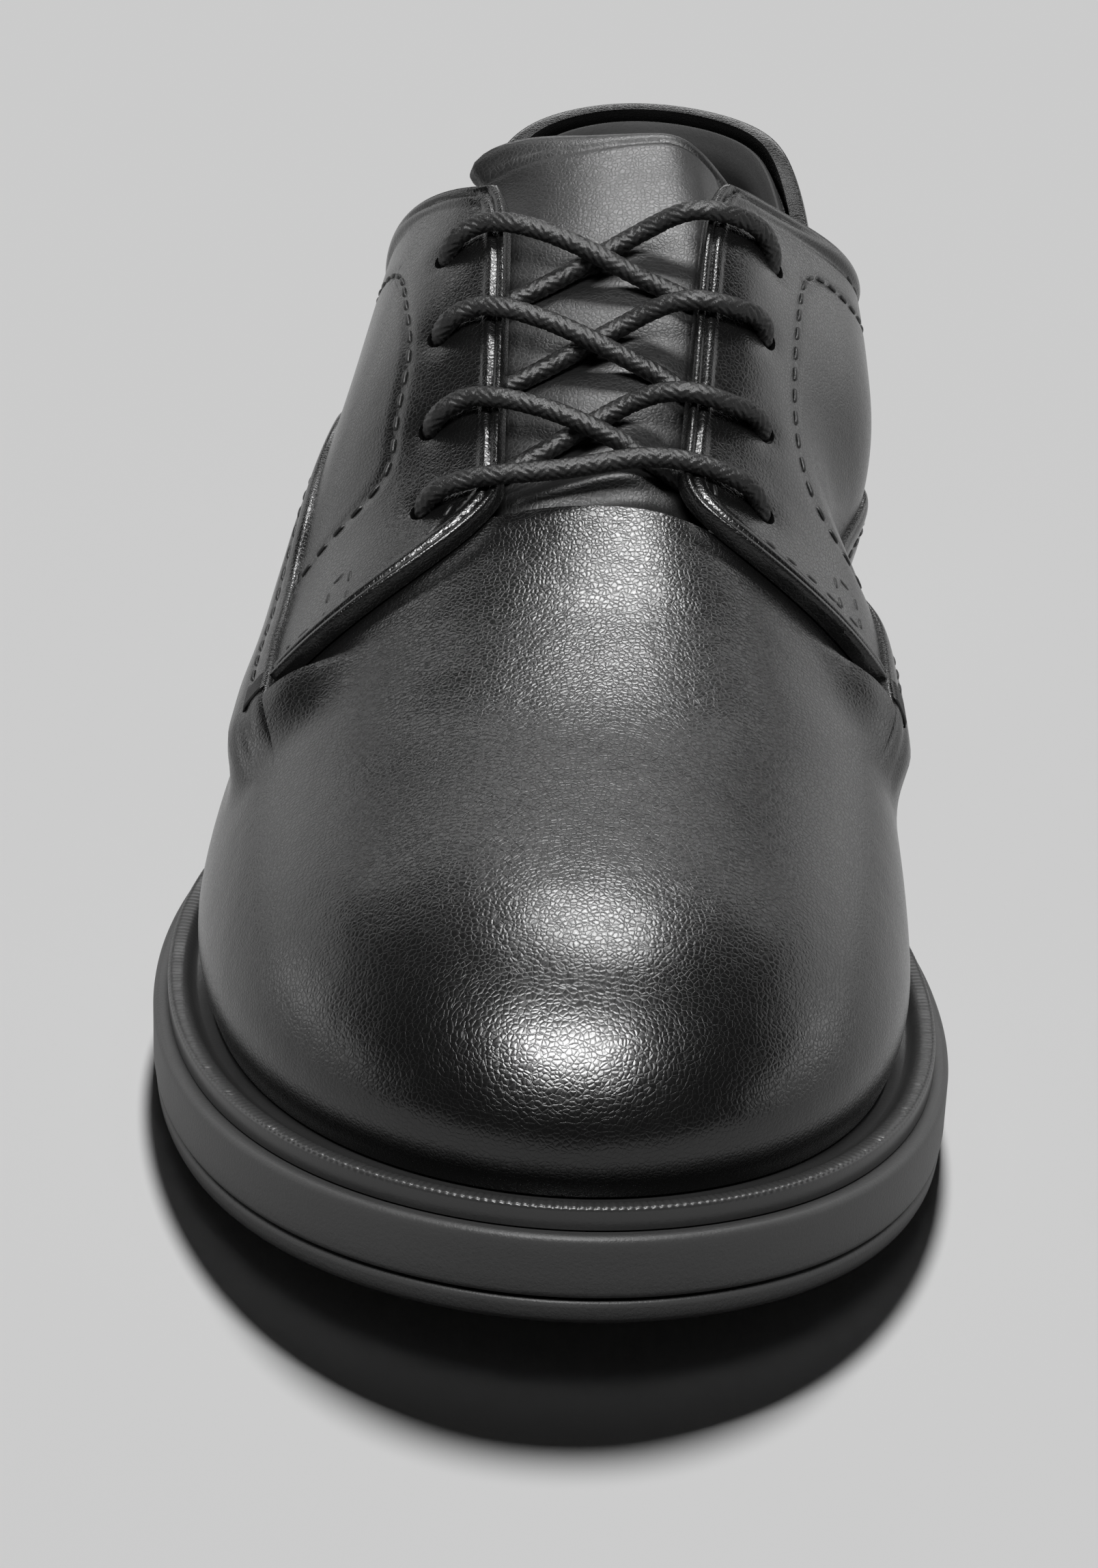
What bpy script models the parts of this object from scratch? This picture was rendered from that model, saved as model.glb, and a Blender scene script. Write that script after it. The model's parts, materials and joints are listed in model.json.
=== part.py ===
"""A plain-toe derby shoe for the right foot, standing empty on its sole.

Metres. The toe points to -Y, the inner (medial) side of the foot is at +X, and the floor is Z = 0.
The origin is on the floor, in the middle of the sole's length and width.

Every curved piece is cut from one last surface, skin(), which has three coordinates:
  turn  0 at the middle of the heel's back, pi at the tip of the toe
  rise  0 at the feather line, where the upper meets the welt, and 1 on the crest over the foot
  side  -1 on the outer (lateral) half, +1 on the inner (medial) half
"""

import math

import bpy
import bmesh
import numpy as np
from mathutils import Vector

LATERAL, MEDIAL = -1, 1

# Driving sizes of the sole
SOLE_LENGTH = 0.305
SOLE_WIDTH = 0.116
OUTSOLE_THICKNESS = 0.0036
MIDSOLE_THICKNESS = 0.0090
HEEL_BLOCK_HEIGHT = 0.0130
HEEL_BLOCK_LENGTH = 0.080
TOE_SPRING = 0.0082
WELT_BASE = 0.0020
WELT_RIM = 0.0032
WELT_REACH = 0.0080
WAIST_REACH = 0.0062
INSOLE_THICKNESS = 0.0035
OUTSOLE_BEVEL = 0.0012
OUTSOLE_DRAFT = 0.0002
PARTING_STEP = 0.0004
MIDSOLE_FOOT = 0.0008
MIDSOLE_SHOULDER = 0.0012
HEEL_BEVEL = 0.0010
HEEL_TAPER = 0.0008
INSOLE_BEVEL = 0.0010

# Driving sizes of the upper
CREST_HEIGHT = 0.118
UPPER_WALL = 0.0020
COLLAR_PAD = 0.0025
QUARTER_WALL = 0.0022
BEAD_HEIGHT = 0.0007
BEAD_WIDTH = 0.0028
BEAD_SLOPE = 1.4
WING_WALL = 0.0013
TONGUE_WALL = 0.0032
FEATHER_TUCK = 0.0022
TUCK_HEIGHT = 0.011
HEEL_SWELL = 0.0100
HEEL_LEAN = 0.0144

# The heel's back swells out low down and leans in over it, ahead to this share of SOLE_LENGTH. The
# sides swell most where the section has risen by a little over half.
HEEL_FORM_END = 0.35
BACK_SHARE = 0.5
SWELL_RISE = 1.25

# Driving sizes of the lacing
FACING_GAP = 0.0295
NOSE_GAP = 0.0240
EYELET_SPREAD = 0.0465
TONGUE_WIDTH = 0.056
TONGUE_SHIFT = -0.0018
TONGUE_FLARE = 0.0105
INNER_FLARE = 0.0020
LACING_CENTRE = 0.0024
EYELET_RADIUS = 0.0017
EYELET_SIDES = 8
LACE_RADIUS = 0.00155

# Clearances
SEAT = 0.0003
INSOLE_CLEAR = 0.0012
TONGUE_SEAT = 0.0010
QUARTER_SEAT = 0.0004
LACE_CLEAR = 0.0005
LACE_DIP = 0.0022
LACE_OVER = 0.0020

# Plan of the sole's edge. Along is a share of SOLE_LENGTH from the heel, the rest of SOLE_WIDTH.
SOLE_PLAN = (
    # along, centre, half width
    (0.00, 0.046, 0.000),
    (0.03, 0.045, 0.216),
    (0.10, 0.040, 0.326),
    (0.20, 0.025, 0.340),
    (0.30, 0.001, 0.333),
    (0.40, -0.024, 0.331),
    (0.50, -0.040, 0.364),
    (0.60, -0.036, 0.434),
    (0.68, -0.022, 0.482),
    (0.75, -0.008, 0.492),
    (0.83, 0.008, 0.462),
    (0.90, 0.020, 0.390),
    (0.96, 0.028, 0.264),
    (1.00, 0.031, 0.000),
)

# Sections of the last. Crest is a share of CREST_HEIGHT above the feather line, ridge is how far the
# crest lies towards the inner side as a share of the section's width, and square is the section's
# exponent: 2 is an ellipse and more is boxier. Outer and inner are how far each side swells past the
# feather line half way up, as shares of SOLE_WIDTH.
LAST_SECTIONS = (
    # along, crest, ridge, square, outer, inner
    (0.00, 1.000, 0.000, 2.10, 0.000, 0.000),
    (0.05, 0.998, 0.000, 2.10, -0.042, -0.036),
    (0.15, 0.990, 0.010, 2.15, -0.062, -0.052),
    (0.28, 0.955, 0.045, 2.50, -0.032, 0.012),
    (0.36, 0.905, 0.080, 2.55, -0.004, 0.088),
    (0.43, 0.833, 0.130, 2.80, 0.004, 0.116),
    (0.49, 0.774, 0.195, 3.05, -0.004, 0.090),
    (0.54, 0.698, 0.155, 2.85, -0.004, 0.030),
    (0.60, 0.599, 0.098, 2.15, 0.010, 0.072),
    (0.66, 0.508, 0.085, 2.15, 0.005, 0.045),
    (0.73, 0.425, 0.055, 2.20, 0.000, 0.018),
    (0.80, 0.362, 0.030, 2.25, 0.000, 0.004),
    (0.87, 0.305, 0.010, 2.30, 0.000, 0.000),
    (0.92, 0.250, 0.004, 2.25, 0.000, 0.000),
    (0.96, 0.180, 0.000, 2.20, 0.000, 0.000),
    (1.00, 0.000, 0.000, 2.20, 0.000, 0.000),
)

# Where the profile under the foot leaves the floor, and where the welt widens ahead of the waist, as
# shares of SOLE_LENGTH
PITCH_END = 0.58
PITCH_START = 0.26
SPRING_START = 0.71
WAIST_END = 0.34
TREAD_START = 0.60

# The topline from the back seam to the facing's top corner. Height is over the feather line, as a
# share of CREST_HEIGHT.
TOPLINE = (
    # along, outer height, inner height
    (0.00, 0.517, 0.517),
    (0.07, 0.478, 0.493),
    (0.15, 0.408, 0.438),
    (0.23, 0.378, 0.412),
    (0.30, 0.408, 0.437),
    (0.36, 0.497, 0.513),
    (0.40, 0.607, 0.615),
    (0.43, 0.690, 0.692),
    (0.455, 0.757, 0.757),
    (0.470, 0.800, 0.800),
)

# The facing runs from the topline to its nose over the vamp. The vamp ends at the throat.
FACING_NOSE = 0.652
THROAT = 0.643
THROAT_ROUND = 0.016
CORNER_SHARPNESS = 16
COLLAR_PAD_END = 0.36
COLLAR_PAD_FADE = 0.08
PAD_FOOT = 0.45
PAD_HEAD = 0.80

# The lower edge of the quarter: along the feather, up behind the vamp's wing to its corner, and then
# up over the vamp to the nose. Ahead of the nose the line only guides the facets.
QUARTER_LOW = (
    # along, height
    (0.00, 0.005),
    (0.20, 0.005),
    (0.28, 0.012),
    (0.345, 0.060),
    (0.40, 0.130),
    (0.46, 0.165),
    (0.53, 0.172),
    (0.58, 0.186),
    (0.62, 0.212),
    (0.66, 0.242),
    (0.69, 0.256),
    (0.74, 0.250),
    (0.85, 0.200),
    (0.93, 0.120),
    (0.97, 0.055),
    (1.00, 0.000),
)
HEM = 0.004
HEM_FADE = 0.05
WING_REAR = 0.33
WING_GROWTH = 0.06
WING_FADE = 0.11
WING_END = 0.018
WING_LAP = 0.010

# The flap's front edge on each side: where its foremost point lies, over which length it closes, how
# high that point stands between lower and upper edge, and how square the curve is.
FLAP_FRONT = {
    # along, length, height, square
    LATERAL: (0.684, 0.052, 0.16, 1.70),
    MEDIAL: (0.652, 0.034, 0.34, 2.60),
}
WING_STEP = 0.0004

# Rows of eyelets along the facing. The two sides' sections are a little askew to each other.
EYELET_ROWS = (0.630, 0.586, 0.542, 0.498)
MEDIAL_SKEW = -0.013

# The tongue, from under the throat to its free top edge
TONGUE = (
    # along, width as a share of TONGUE_WIDTH, how far its edges stand up as a share of the flare
    (0.690, 0.54, 0.00),
    (0.640, 0.76, 0.00),
    (0.560, 0.90, 0.00),
    (0.500, 0.96, 0.00),
    (0.468, 0.92, 0.00),
    (0.450, 0.772, 0.27),
    (0.440, 0.82, 0.65),
    (0.435, 0.82, 0.85),
    (0.432, 0.68, 1.00),
)

# How finely the curves are faceted. A row of STATIONS is where a stretch starts, and its steps.
STATIONS = (
    # along, steps
    (0.000, 9),
    (0.345, 3),
    (0.390, 4),
    (0.435, 6),
    (0.475, 3),
    (0.565, 3),
    (0.600, 4),
    (0.627, 6),
    (0.655, 8),
    (1.000, 0),
)
LOW_ROWS = 3
NOSE_STEPS = 6
TONGUE_COLUMNS = 9
HIGH_ROWS = 5
ROW_CROWDING = 1.4
OUTLINE_STEPS = 56
HEEL_STEPS = 24
LACE_STEPS = 9
LACE_SIDES_RESOLUTION = 2
SMOOTH_ANGLE = 35

# Colours from the photo: linear base colour, roughness
FINISHES = {
    "black_leather": ((0.010, 0.010, 0.010), 0.34),
    "tongue_leather": ((0.012, 0.012, 0.012), 0.38),
    "lining": ((0.030, 0.030, 0.030), 0.70),
    "welt_rubber": ((0.020, 0.020, 0.020), 0.42),
    "sole_rubber": ((0.030, 0.030, 0.030), 0.62),
    "waxed_cord": ((0.012, 0.012, 0.012), 0.45),
}


# A punch reaches from inside the wall to past the facing's outer face
PUNCH_DEPTHS = (-2 * UPPER_WALL, QUARTER_SEAT + 2 * QUARTER_WALL)


def clear_scene():
    for item in list(bpy.data.objects):
        bpy.data.objects.remove(item, do_unlink=True)


def smooth_curve(xs, ys):
    """A cubic through the points whose slope and bend run on without a step."""
    xs = np.asarray(xs, float)
    ys = np.asarray(ys, float)
    count = len(xs)
    gap = np.diff(xs)
    matrix = np.zeros((count, count))
    right = np.zeros(count)
    matrix[0, 0] = matrix[-1, -1] = 1.0
    for i in range(1, count - 1):
        matrix[i, i - 1 : i + 2] = gap[i - 1], 2 * (gap[i - 1] + gap[i]), gap[i]
        right[i] = 6 * ((ys[i + 1] - ys[i]) / gap[i] - (ys[i] - ys[i - 1]) / gap[i - 1])
    bend = np.linalg.solve(matrix, right)

    def value(x):
        x = np.clip(np.asarray(x, float), xs[0], xs[-1])
        k = np.clip(np.searchsorted(xs, x, side="right") - 1, 0, count - 2)
        d, g = x - xs[k], gap[k]
        slope = (ys[k + 1] - ys[k]) / g - g * (2 * bend[k] + bend[k + 1]) / 6
        return ys[k] + d * slope + d**2 * bend[k] / 2 + d**3 * (bend[k + 1] - bend[k]) / (6 * g)

    return value


def smooth_step(x):
    x = np.clip(x, 0.0, 1.0)
    return x**3 * (10 - 15 * x + 6 * x**2)


def column(table, index):
    return [row[index] for row in table]


# The squares of the half width and of the crest's height are what is interpolated, so that heel and
# toe close in a round and not in a point.
plan_centre = smooth_curve(column(SOLE_PLAN, 0), column(SOLE_PLAN, 1))
plan_half_squared = smooth_curve(column(SOLE_PLAN, 0), np.square(column(SOLE_PLAN, 2)))
crest_squared = smooth_curve(column(LAST_SECTIONS, 0), np.square(column(LAST_SECTIONS, 1)))
ridge_share = smooth_curve(column(LAST_SECTIONS, 0), column(LAST_SECTIONS, 2))
section_square = smooth_curve(column(LAST_SECTIONS, 0), column(LAST_SECTIONS, 3))
SWELL = {
    LATERAL: smooth_curve(column(LAST_SECTIONS, 0), column(LAST_SECTIONS, 4)),
    MEDIAL: smooth_curve(column(LAST_SECTIONS, 0), column(LAST_SECTIONS, 5)),
}


def along_of(turn):
    return (1 - np.cos(turn)) / 2


def turn_of(along):
    return np.arccos(1 - 2 * np.clip(along, 0.0, 1.0))


def share_at(y):
    """The share of SOLE_LENGTH from the heel at which y lies."""
    return np.clip(0.5 - y / SOLE_LENGTH, 0.0, 1.0)


def sole_middle():
    """The middle of the sole's width, which is moved onto the origin."""
    along = np.linspace(0, 1, 400)
    half = np.sqrt(np.maximum(plan_half_squared(along), 0))
    centre = plan_centre(along)
    return ((centre + half).max() + (centre - half).min()) / 2 * SOLE_WIDTH


MIDDLE = sole_middle()


def edge_point(loop):
    """A point of the sole's edge. Loop runs from the heel over the lateral side to the toe and back."""
    along = np.clip(along_of(loop), 1e-7, 1 - 1e-7)
    half = np.sqrt(np.maximum(plan_half_squared(along), 0) / (4 * along * (1 - along)))
    x = (plan_centre(along) - np.sin(loop) * half) * SOLE_WIDTH - MIDDLE
    return np.stack([x, (0.5 - along_of(loop)) * SOLE_LENGTH], -1)


def outline(loop, inset):
    """The sole's edge moved inwards by inset."""
    loop = np.asarray(loop, float)
    step = 1e-3
    ahead = edge_point(loop + step) - edge_point(loop - step)
    ahead /= np.linalg.norm(ahead, axis=-1, keepdims=True)
    inward = np.stack([-ahead[..., 1], ahead[..., 0]], -1)
    return edge_point(loop) + inward * np.asarray(inset)[..., None]


def reach(along):
    """How far the feather line lies inside the sole's edge."""
    growth = smooth_step((along - WAIST_END) / (TREAD_START - WAIST_END))
    return WAIST_REACH + (WELT_REACH - WAIST_REACH) * growth


def tread(y):
    """Height of the outsole's underside over the floor."""
    along = share_at(y)
    pitch = 1 - smooth_step((along - PITCH_START) / (PITCH_END - PITCH_START))
    spring = np.clip((along - SPRING_START) / (1 - SPRING_START), 0, 1) ** 2
    return HEEL_BLOCK_HEIGHT * pitch + TOE_SPRING * spring


OUTSOLE_TOP = OUTSOLE_THICKNESS
MIDSOLE_BASE = OUTSOLE_TOP + SEAT
MIDSOLE_TOP = MIDSOLE_BASE + MIDSOLE_THICKNESS
WELT_FOOT = MIDSOLE_TOP + SEAT
FEATHER = WELT_FOOT + WELT_BASE + SEAT


def crest_height(along):
    """Height of the crest over the feather line."""
    return np.sqrt(np.maximum(crest_squared(along), 0)) * CREST_HEIGHT


def skin_base(turn, rise, side):
    """The last's surface with no thickness."""
    turn, rise = np.broadcast_arrays(np.asarray(turn, float), np.asarray(rise, float))
    along = along_of(turn)
    bulge = reach(along) - FEATHER_TUCK
    lateral, medial = outline(turn, bulge), outline(2 * math.pi - turn, bulge)
    share = 0.5 + ridge_share(along)
    crest = lateral + (medial - lateral) * share[..., None]
    foot = lateral if side == LATERAL else medial
    power = 2 / section_square(along)
    angle = rise ** (1 / power) * math.pi / 2
    across = np.abs(np.cos(angle)) ** power
    up = np.abs(np.sin(angle)) ** power
    height = crest_height(along) * up
    plan = crest + (foot - crest) * across[..., None]
    tuck = FEATHER_TUCK * np.clip(1 - height / TUCK_HEIGHT, 0, 1) ** 2
    tuck = tuck - SWELL[side](along) * SOLE_WIDTH * np.sin(math.pi * up**SWELL_RISE) ** 2
    inward = outline(turn if side == LATERAL else 2 * math.pi - turn, bulge + 1e-3) - foot
    inward = inward / 1e-3 * np.stack([across, np.ones_like(across)], -1)
    plan = plan + inward * tuck[..., None]
    x, y = plan[..., 0], plan[..., 1]
    rear = np.clip(1 - along / HEEL_FORM_END, 0, 1) ** 2
    back = np.clip(height / (BACK_SHARE * CREST_HEIGHT), 0, 1.2)
    z = tread(y) + FEATHER + height
    y = y + rear * (HEEL_SWELL * back - HEEL_LEAN * back**2)
    return np.stack([x, y, z], -1)


def skin_normal(turn, rise, side):
    """The outward normal of the last's surface."""
    step = 1e-3
    turn = np.clip(turn, step, math.pi - 6 * step)
    rise = np.clip(rise, step, 1.0)
    down = np.maximum(rise - step, 0)
    up = np.minimum(rise + step, 1)
    by_turn = skin_base(turn + step, rise, side) - skin_base(turn - step, rise, side)
    by_rise = skin_base(turn, up, side) - skin_base(turn, down, side)
    normal = np.cross(by_turn, by_rise) * -side
    length = np.linalg.norm(normal, axis=-1, keepdims=True)
    return normal / np.maximum(length, 1e-12)


def skin(turn, rise, side, lift=0.0):
    """A point of the last's surface, moved out along its normal by lift."""
    turn, rise, lift = np.broadcast_arrays(
        np.asarray(turn, float), np.asarray(rise, float), np.asarray(lift, float)
    )
    return skin_base(turn, rise, side) + skin_normal(turn, rise, side) * lift[..., None]


def rise_at_gap(along, gap, side):
    """The rise at which the surface lies gap to this side of the crest."""
    turn = turn_of(along)
    inset = reach(along) - FEATHER_TUCK
    width = np.linalg.norm(outline(turn, inset) - outline(2 * math.pi - turn, inset), axis=-1)
    share = np.clip(gap / np.maximum(width * (0.5 - side * ridge_share(along)), 1e-6), 0, 1)
    square = section_square(along) / 2
    return (np.arccos(share**square) * 2 / math.pi) ** (1 / square)


def rise_at_height(along, share):
    """The rise at which the surface lies this share of CREST_HEIGHT over the feather line."""
    height = np.clip(share * CREST_HEIGHT / np.maximum(crest_height(along), 1e-6), 0, 1)
    square = section_square(along) / 2
    return (np.arcsin(height**square) * 2 / math.pi) ** (1 / square)


topline_height = {
    LATERAL: smooth_curve(column(TOPLINE, 0), column(TOPLINE, 1)),
    MEDIAL: smooth_curve(column(TOPLINE, 0), column(TOPLINE, 2)),
}
low_height = smooth_curve(column(QUARTER_LOW, 0), column(QUARTER_LOW, 1))


def low_rise(along):
    """The quarter's lower edge, which is also the top edge of the vamp's wing."""
    return rise_at_height(along, np.maximum(low_height(along), HEM))


def crest_x(along):
    """Where the crest lies across the shoe."""
    turn = turn_of(along)
    inset = reach(along) - FEATHER_TUCK
    lateral, medial = outline(turn, inset)[..., 0], outline(2 * math.pi - turn, inset)[..., 0]
    return lateral + (medial - lateral) * (0.5 + ridge_share(along))


def beside_crest(gap, side, along):
    """How far from the crest a point lies that is gap to one side of the lacing's middle line."""
    return gap + side * (LACING_CENTRE - crest_x(along))


def facing_rise(along, gap, side):
    """The topline, and from its top corner on the facing's edge at half the gap."""
    line = rise_at_height(along, topline_height[side](along))
    line = np.where(along > TOPLINE[-1][0], 1.2, line)
    edge = rise_at_gap(along, beside_crest(gap / 2, side, along), side)
    edge = np.where(along < COLLAR_PAD_END, 1.2, edge)
    both = np.exp(-CORNER_SHARPNESS * line) + np.exp(-CORNER_SHARPNESS * edge)
    return -np.log(both) / CORNER_SHARPNESS


def facing_gap(along):
    """The gap between the facings, which narrows from their top corners to their noses."""
    part = np.clip((along - TOPLINE[-1][0]) / (FACING_NOSE - TOPLINE[-1][0]), 0, 1)
    return FACING_GAP + (NOSE_GAP - FACING_GAP) * part


def wing_lift(along, rise, side):
    """How far the vamp's wing stands out over the quarter that it covers at the sides."""
    edge = low_rise(along)
    under = 1 - smooth_step((edge - rise) / WING_FADE)
    ahead = smooth_step((along - WING_REAR) / WING_GROWTH)
    corner = FLAP_FRONT[side][0] - WING_LAP
    ahead = ahead * (1 - smooth_step((along - corner) / WING_END))
    covered = np.where(rise <= edge + 1e-9, 1.0, 0.0)
    clear = smooth_step(rise / HEM_FADE)
    return (QUARTER_SEAT + QUARTER_WALL + WING_WALL) * under * ahead * covered * clear


def opening_rise(along, side):
    """The rise of the upper's own top edge: the topline, then the slot under the facings."""
    gap = facing_gap(along) + BEAD_WIDTH
    reach_in = np.clip((along - THROAT) / THROAT_ROUND + 1, 0, 1)
    return facing_rise(along, gap * (1 - reach_in**3) ** (1 / 3), side)


def step_rise(along):
    """The width of the step at the wing's edge, as a rise."""
    return WING_STEP / np.maximum(crest_height(along), 1e-3)


def station_turns():
    """Turns from heel to toe that all the pieces of the upper share."""
    turns = []
    for (start, steps), (end, _) in zip(STATIONS, STATIONS[1:]):
        turns.extend(np.linspace(turn_of(start), turn_of(end), steps, endpoint=False))
    return np.array(turns + [math.pi])


TURNS = station_turns()
ALONGS = along_of(TURNS)
THROAT_STATION = int(np.searchsorted(ALONGS, THROAT))


def high_rows(low, high):
    """Rises from the wing's edge up to the top, a row for each station, and two rows at the bead."""
    bead = BEAD_WIDTH / CREST_HEIGHT
    share = 1 - np.linspace(1, 0, HIGH_ROWS + 1) ** ROW_CROWDING
    body = low[:, None] + (high - BEAD_SLOPE * bead - low)[:, None] * share
    return np.column_stack([body, high - bead, high])


def new_object(name, points, faces, finish):
    """An object from points and faces, with doubles joined and its faces pointing out."""
    mesh = bpy.data.meshes.new(name)
    mesh.from_pydata([tuple(p) for p in points], [], faces)
    shape = bmesh.new()
    shape.from_mesh(mesh)
    bmesh.ops.remove_doubles(shape, verts=shape.verts, dist=2e-6)
    bmesh.ops.dissolve_degenerate(shape, edges=shape.edges, dist=1e-7)
    bmesh.ops.recalc_face_normals(shape, faces=shape.faces)
    shape.to_mesh(mesh)
    shape.free()
    mesh.shade_smooth()
    mesh.set_sharp_from_angle(angle=math.radians(SMOOTH_ANGLE))
    item = bpy.data.objects.new(name, mesh)
    bpy.context.scene.collection.objects.link(item)
    item.data.materials.append(material(finish))
    return item


def material(finish):
    found = bpy.data.materials.get(finish)
    if found:
        return found
    colour, roughness = FINISHES[finish]
    made = bpy.data.materials.new(finish)
    made.use_nodes = True
    shader = made.node_tree.nodes["Principled BSDF"]
    shader.inputs["Base Color"].default_value = (*colour, 1.0)
    shader.inputs["Roughness"].default_value = roughness
    shader.inputs["Metallic"].default_value = 0.0
    return made


class Shell:
    """Gathers grids of points into one closed solid."""

    def __init__(self):
        self.points = []
        self.faces = []

    def grid(self, rows):
        """Adds a sheet over a (rows, columns, 3) array, each cell cut along the same diagonal."""
        rows = np.asarray(rows, float)
        start, (high, wide) = len(self.points), rows.shape[:2]
        self.points.extend(rows.reshape(-1, 3))
        for i in range(high - 1):
            for j in range(wide - 1):
                corner = start + i * wide + j
                across = corner + wide + 1
                self.faces.append((corner, corner + 1, across))
                self.faces.append((corner, across, corner + wide))

    def build(self, name, finish):
        return new_object(name, self.points, self.faces, finish)


def upper_sheet(side, inner):
    """One half of the upper's outer or inner face."""
    edge = low_rise(ALONGS)
    top = opening_rise(ALONGS, side)
    top[THROAT_STATION:] = 1.0
    low = edge[:, None] * np.linspace(0, 1, LOW_ROWS + 1)
    high = high_rows(*quarter_span(ALONGS, side))
    high[THROAT_STATION:] = high_rows(edge, top)[THROAT_STATION:]
    high[:, 0] = edge + step_rise(ALONGS)
    high[:, -1] = top
    rise = np.concatenate([low, high], axis=1)
    turn = np.broadcast_to(TURNS[:, None], rise.shape)
    lift = wing_lift(along_of(turn), rise, side)
    if inner:
        collar = smooth_step((COLLAR_PAD_END - ALONGS) / COLLAR_PAD_FADE)
        share = np.linspace(0, 1, rise.shape[1])
        pad = COLLAR_PAD * collar[:, None] * smooth_step((share - PAD_FOOT) / (PAD_HEAD - PAD_FOOT))
        lift = -UPPER_WALL - pad
    return skin(turn, rise, side, lift)


def upper_faces(inner):
    """Both halves of a face, brought together at the back seam, on the crest and at the toe."""
    halves = {side: upper_sheet(side, inner) for side in (LATERAL, MEDIAL)}
    for seam in (np.s_[0, :], np.s_[THROAT_STATION:, -1]):
        middle = (halves[LATERAL][seam] + halves[MEDIAL][seam]) / 2
        for half in halves.values():
            half[seam] = middle
    tip = (halves[LATERAL][-1].mean(axis=0) + halves[MEDIAL][-1].mean(axis=0)) / 2
    for half in halves.values():
        half[-1] = tip
    return halves


def make_upper():
    """Vamp, wings and the body under the quarters: one hollow wall, open above and below."""
    shell = Shell()
    outer_faces, inner_faces = upper_faces(False), upper_faces(True)
    for side in (LATERAL, MEDIAL):
        outer, inner = outer_faces[side], inner_faces[side]
        shell.grid(outer)
        shell.grid(inner)
        shell.grid(np.stack([outer[:, 0], inner[:, 0]]))
        rim = slice(0, THROAT_STATION + 1)
        shell.grid(np.stack([outer[rim, -1], inner[rim, -1]]))
    return shell.build("upper", "black_leather")


def quarter_span(alongs, side):
    """The rises of the quarter's lower and upper edge, before its nose closes."""
    low = low_rise(alongs) + 3 * step_rise(alongs)
    return low, facing_rise(alongs, facing_gap(alongs), side)


def quarter_edges(side):
    """The quarter's stations, and the rises of its lower and upper edge, closing round in front."""
    tip, length, share, square = FLAP_FRONT[side]
    span = tip - length
    closing = span + length * np.sin(np.linspace(0, math.pi / 2, NOSE_STEPS + 1))
    alongs = np.concatenate([ALONGS[ALONGS < span - 0.002], closing])
    alongs[0] = back_seam_along()
    low, high = quarter_span(alongs, side)
    part = np.clip((alongs - span) / length, 0, 1)
    open_share = np.maximum((1 - part**square) ** (1 / square), 0.02)
    front = low + (high - low) * share
    pull = smooth_step(part)
    front = front * (1 - pull) + front[-1] * pull
    return alongs, front - (front - low) * open_share, front + (high - front) * open_share


def back_seam_along():
    """Where each quarter stops short of the middle of the heel."""
    turn = 0.01
    width = np.ptp(edge_point(np.array([-turn, turn]))[:, 0])
    return float(along_of(turn * SEAT / width))


def quarter_sheet(side, lift, bead):
    """The quarter's outer or inner face as stations by rows."""
    alongs, low, high = quarter_edges(side)
    rise = high_rows(low, high)
    lifts = np.full(rise.shape, lift)
    lifts[:, -2:] += bead
    return skin(turn_of(alongs)[:, None], rise, side, lifts)


def make_eyelet_cutter(side):
    """Four punches through the facing and the wall under it, for the lace to pass."""
    name = "eyelet_cutter_" + ("medial" if side == MEDIAL else "lateral")
    points, faces = [], []
    angles = np.linspace(0, 2 * math.pi, EYELET_SIDES, endpoint=False)
    for along in EYELET_ROWS:
        ends = [over_crest(along, side * EYELET_SPREAD / 2, lift) for lift in PUNCH_DEPTHS]
        axis = Vector(ends[1] - ends[0]).normalized()
        across = axis.orthogonal().normalized()
        other = axis.cross(across)
        start = len(points)
        for end in ends:
            for angle in angles:
                spoke = across * math.cos(angle) + other * math.sin(angle)
                points.append(Vector(end) + spoke * EYELET_RADIUS)
        low = list(range(start, start + EYELET_SIDES))
        high = [k + EYELET_SIDES for k in low]
        faces += [low[::-1], high]
        faces += [(low[k - 1], low[k], high[k], high[k - 1]) for k in range(EYELET_SIDES)]
    cutter = new_object(name, points, faces, "black_leather")
    cutter.hide_render = True
    cutter.display_type = "WIRE"
    return cutter


def punch(item, cutter):
    cut = item.modifiers.new("eyelets", "BOOLEAN")
    cut.operation = "DIFFERENCE"
    cut.object = cutter


def make_quarter(name, side):
    """An eyelet quarter laid over the upper, with a raised bead along topline and facing."""
    shell = Shell()
    outer = quarter_sheet(side, QUARTER_SEAT + QUARTER_WALL, BEAD_HEIGHT)
    inner = quarter_sheet(side, QUARTER_SEAT, 0.0)
    shell.grid(outer)
    shell.grid(inner)
    for edge in (np.s_[:, 0], np.s_[:, -1], np.s_[0, :], np.s_[-1, :]):
        shell.grid(np.stack([outer[edge], inner[edge]]))
    return shell.build(name, "black_leather")


def over_crest(along, across, lift):
    """Points across to the medial side of the lacing's middle, lifted off the last."""
    along, across = np.broadcast_arrays(np.asarray(along, float), np.asarray(across, float))
    along = along + MEDIAL_SKEW * smooth_step(across / FACING_GAP + 0.5)
    offset = beside_crest(across, MEDIAL, along)
    halves = [
        skin(turn_of(along), rise_at_gap(along, np.abs(offset), side), side, lift)
        for side in (LATERAL, MEDIAL)
    ]
    return np.where(offset[..., None] < 0, *halves)


tongue_half = smooth_curve([-row[0] for row in TONGUE], [row[1] for row in TONGUE])
tongue_flare = smooth_curve([-row[0] for row in TONGUE], [row[2] for row in TONGUE])


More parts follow.
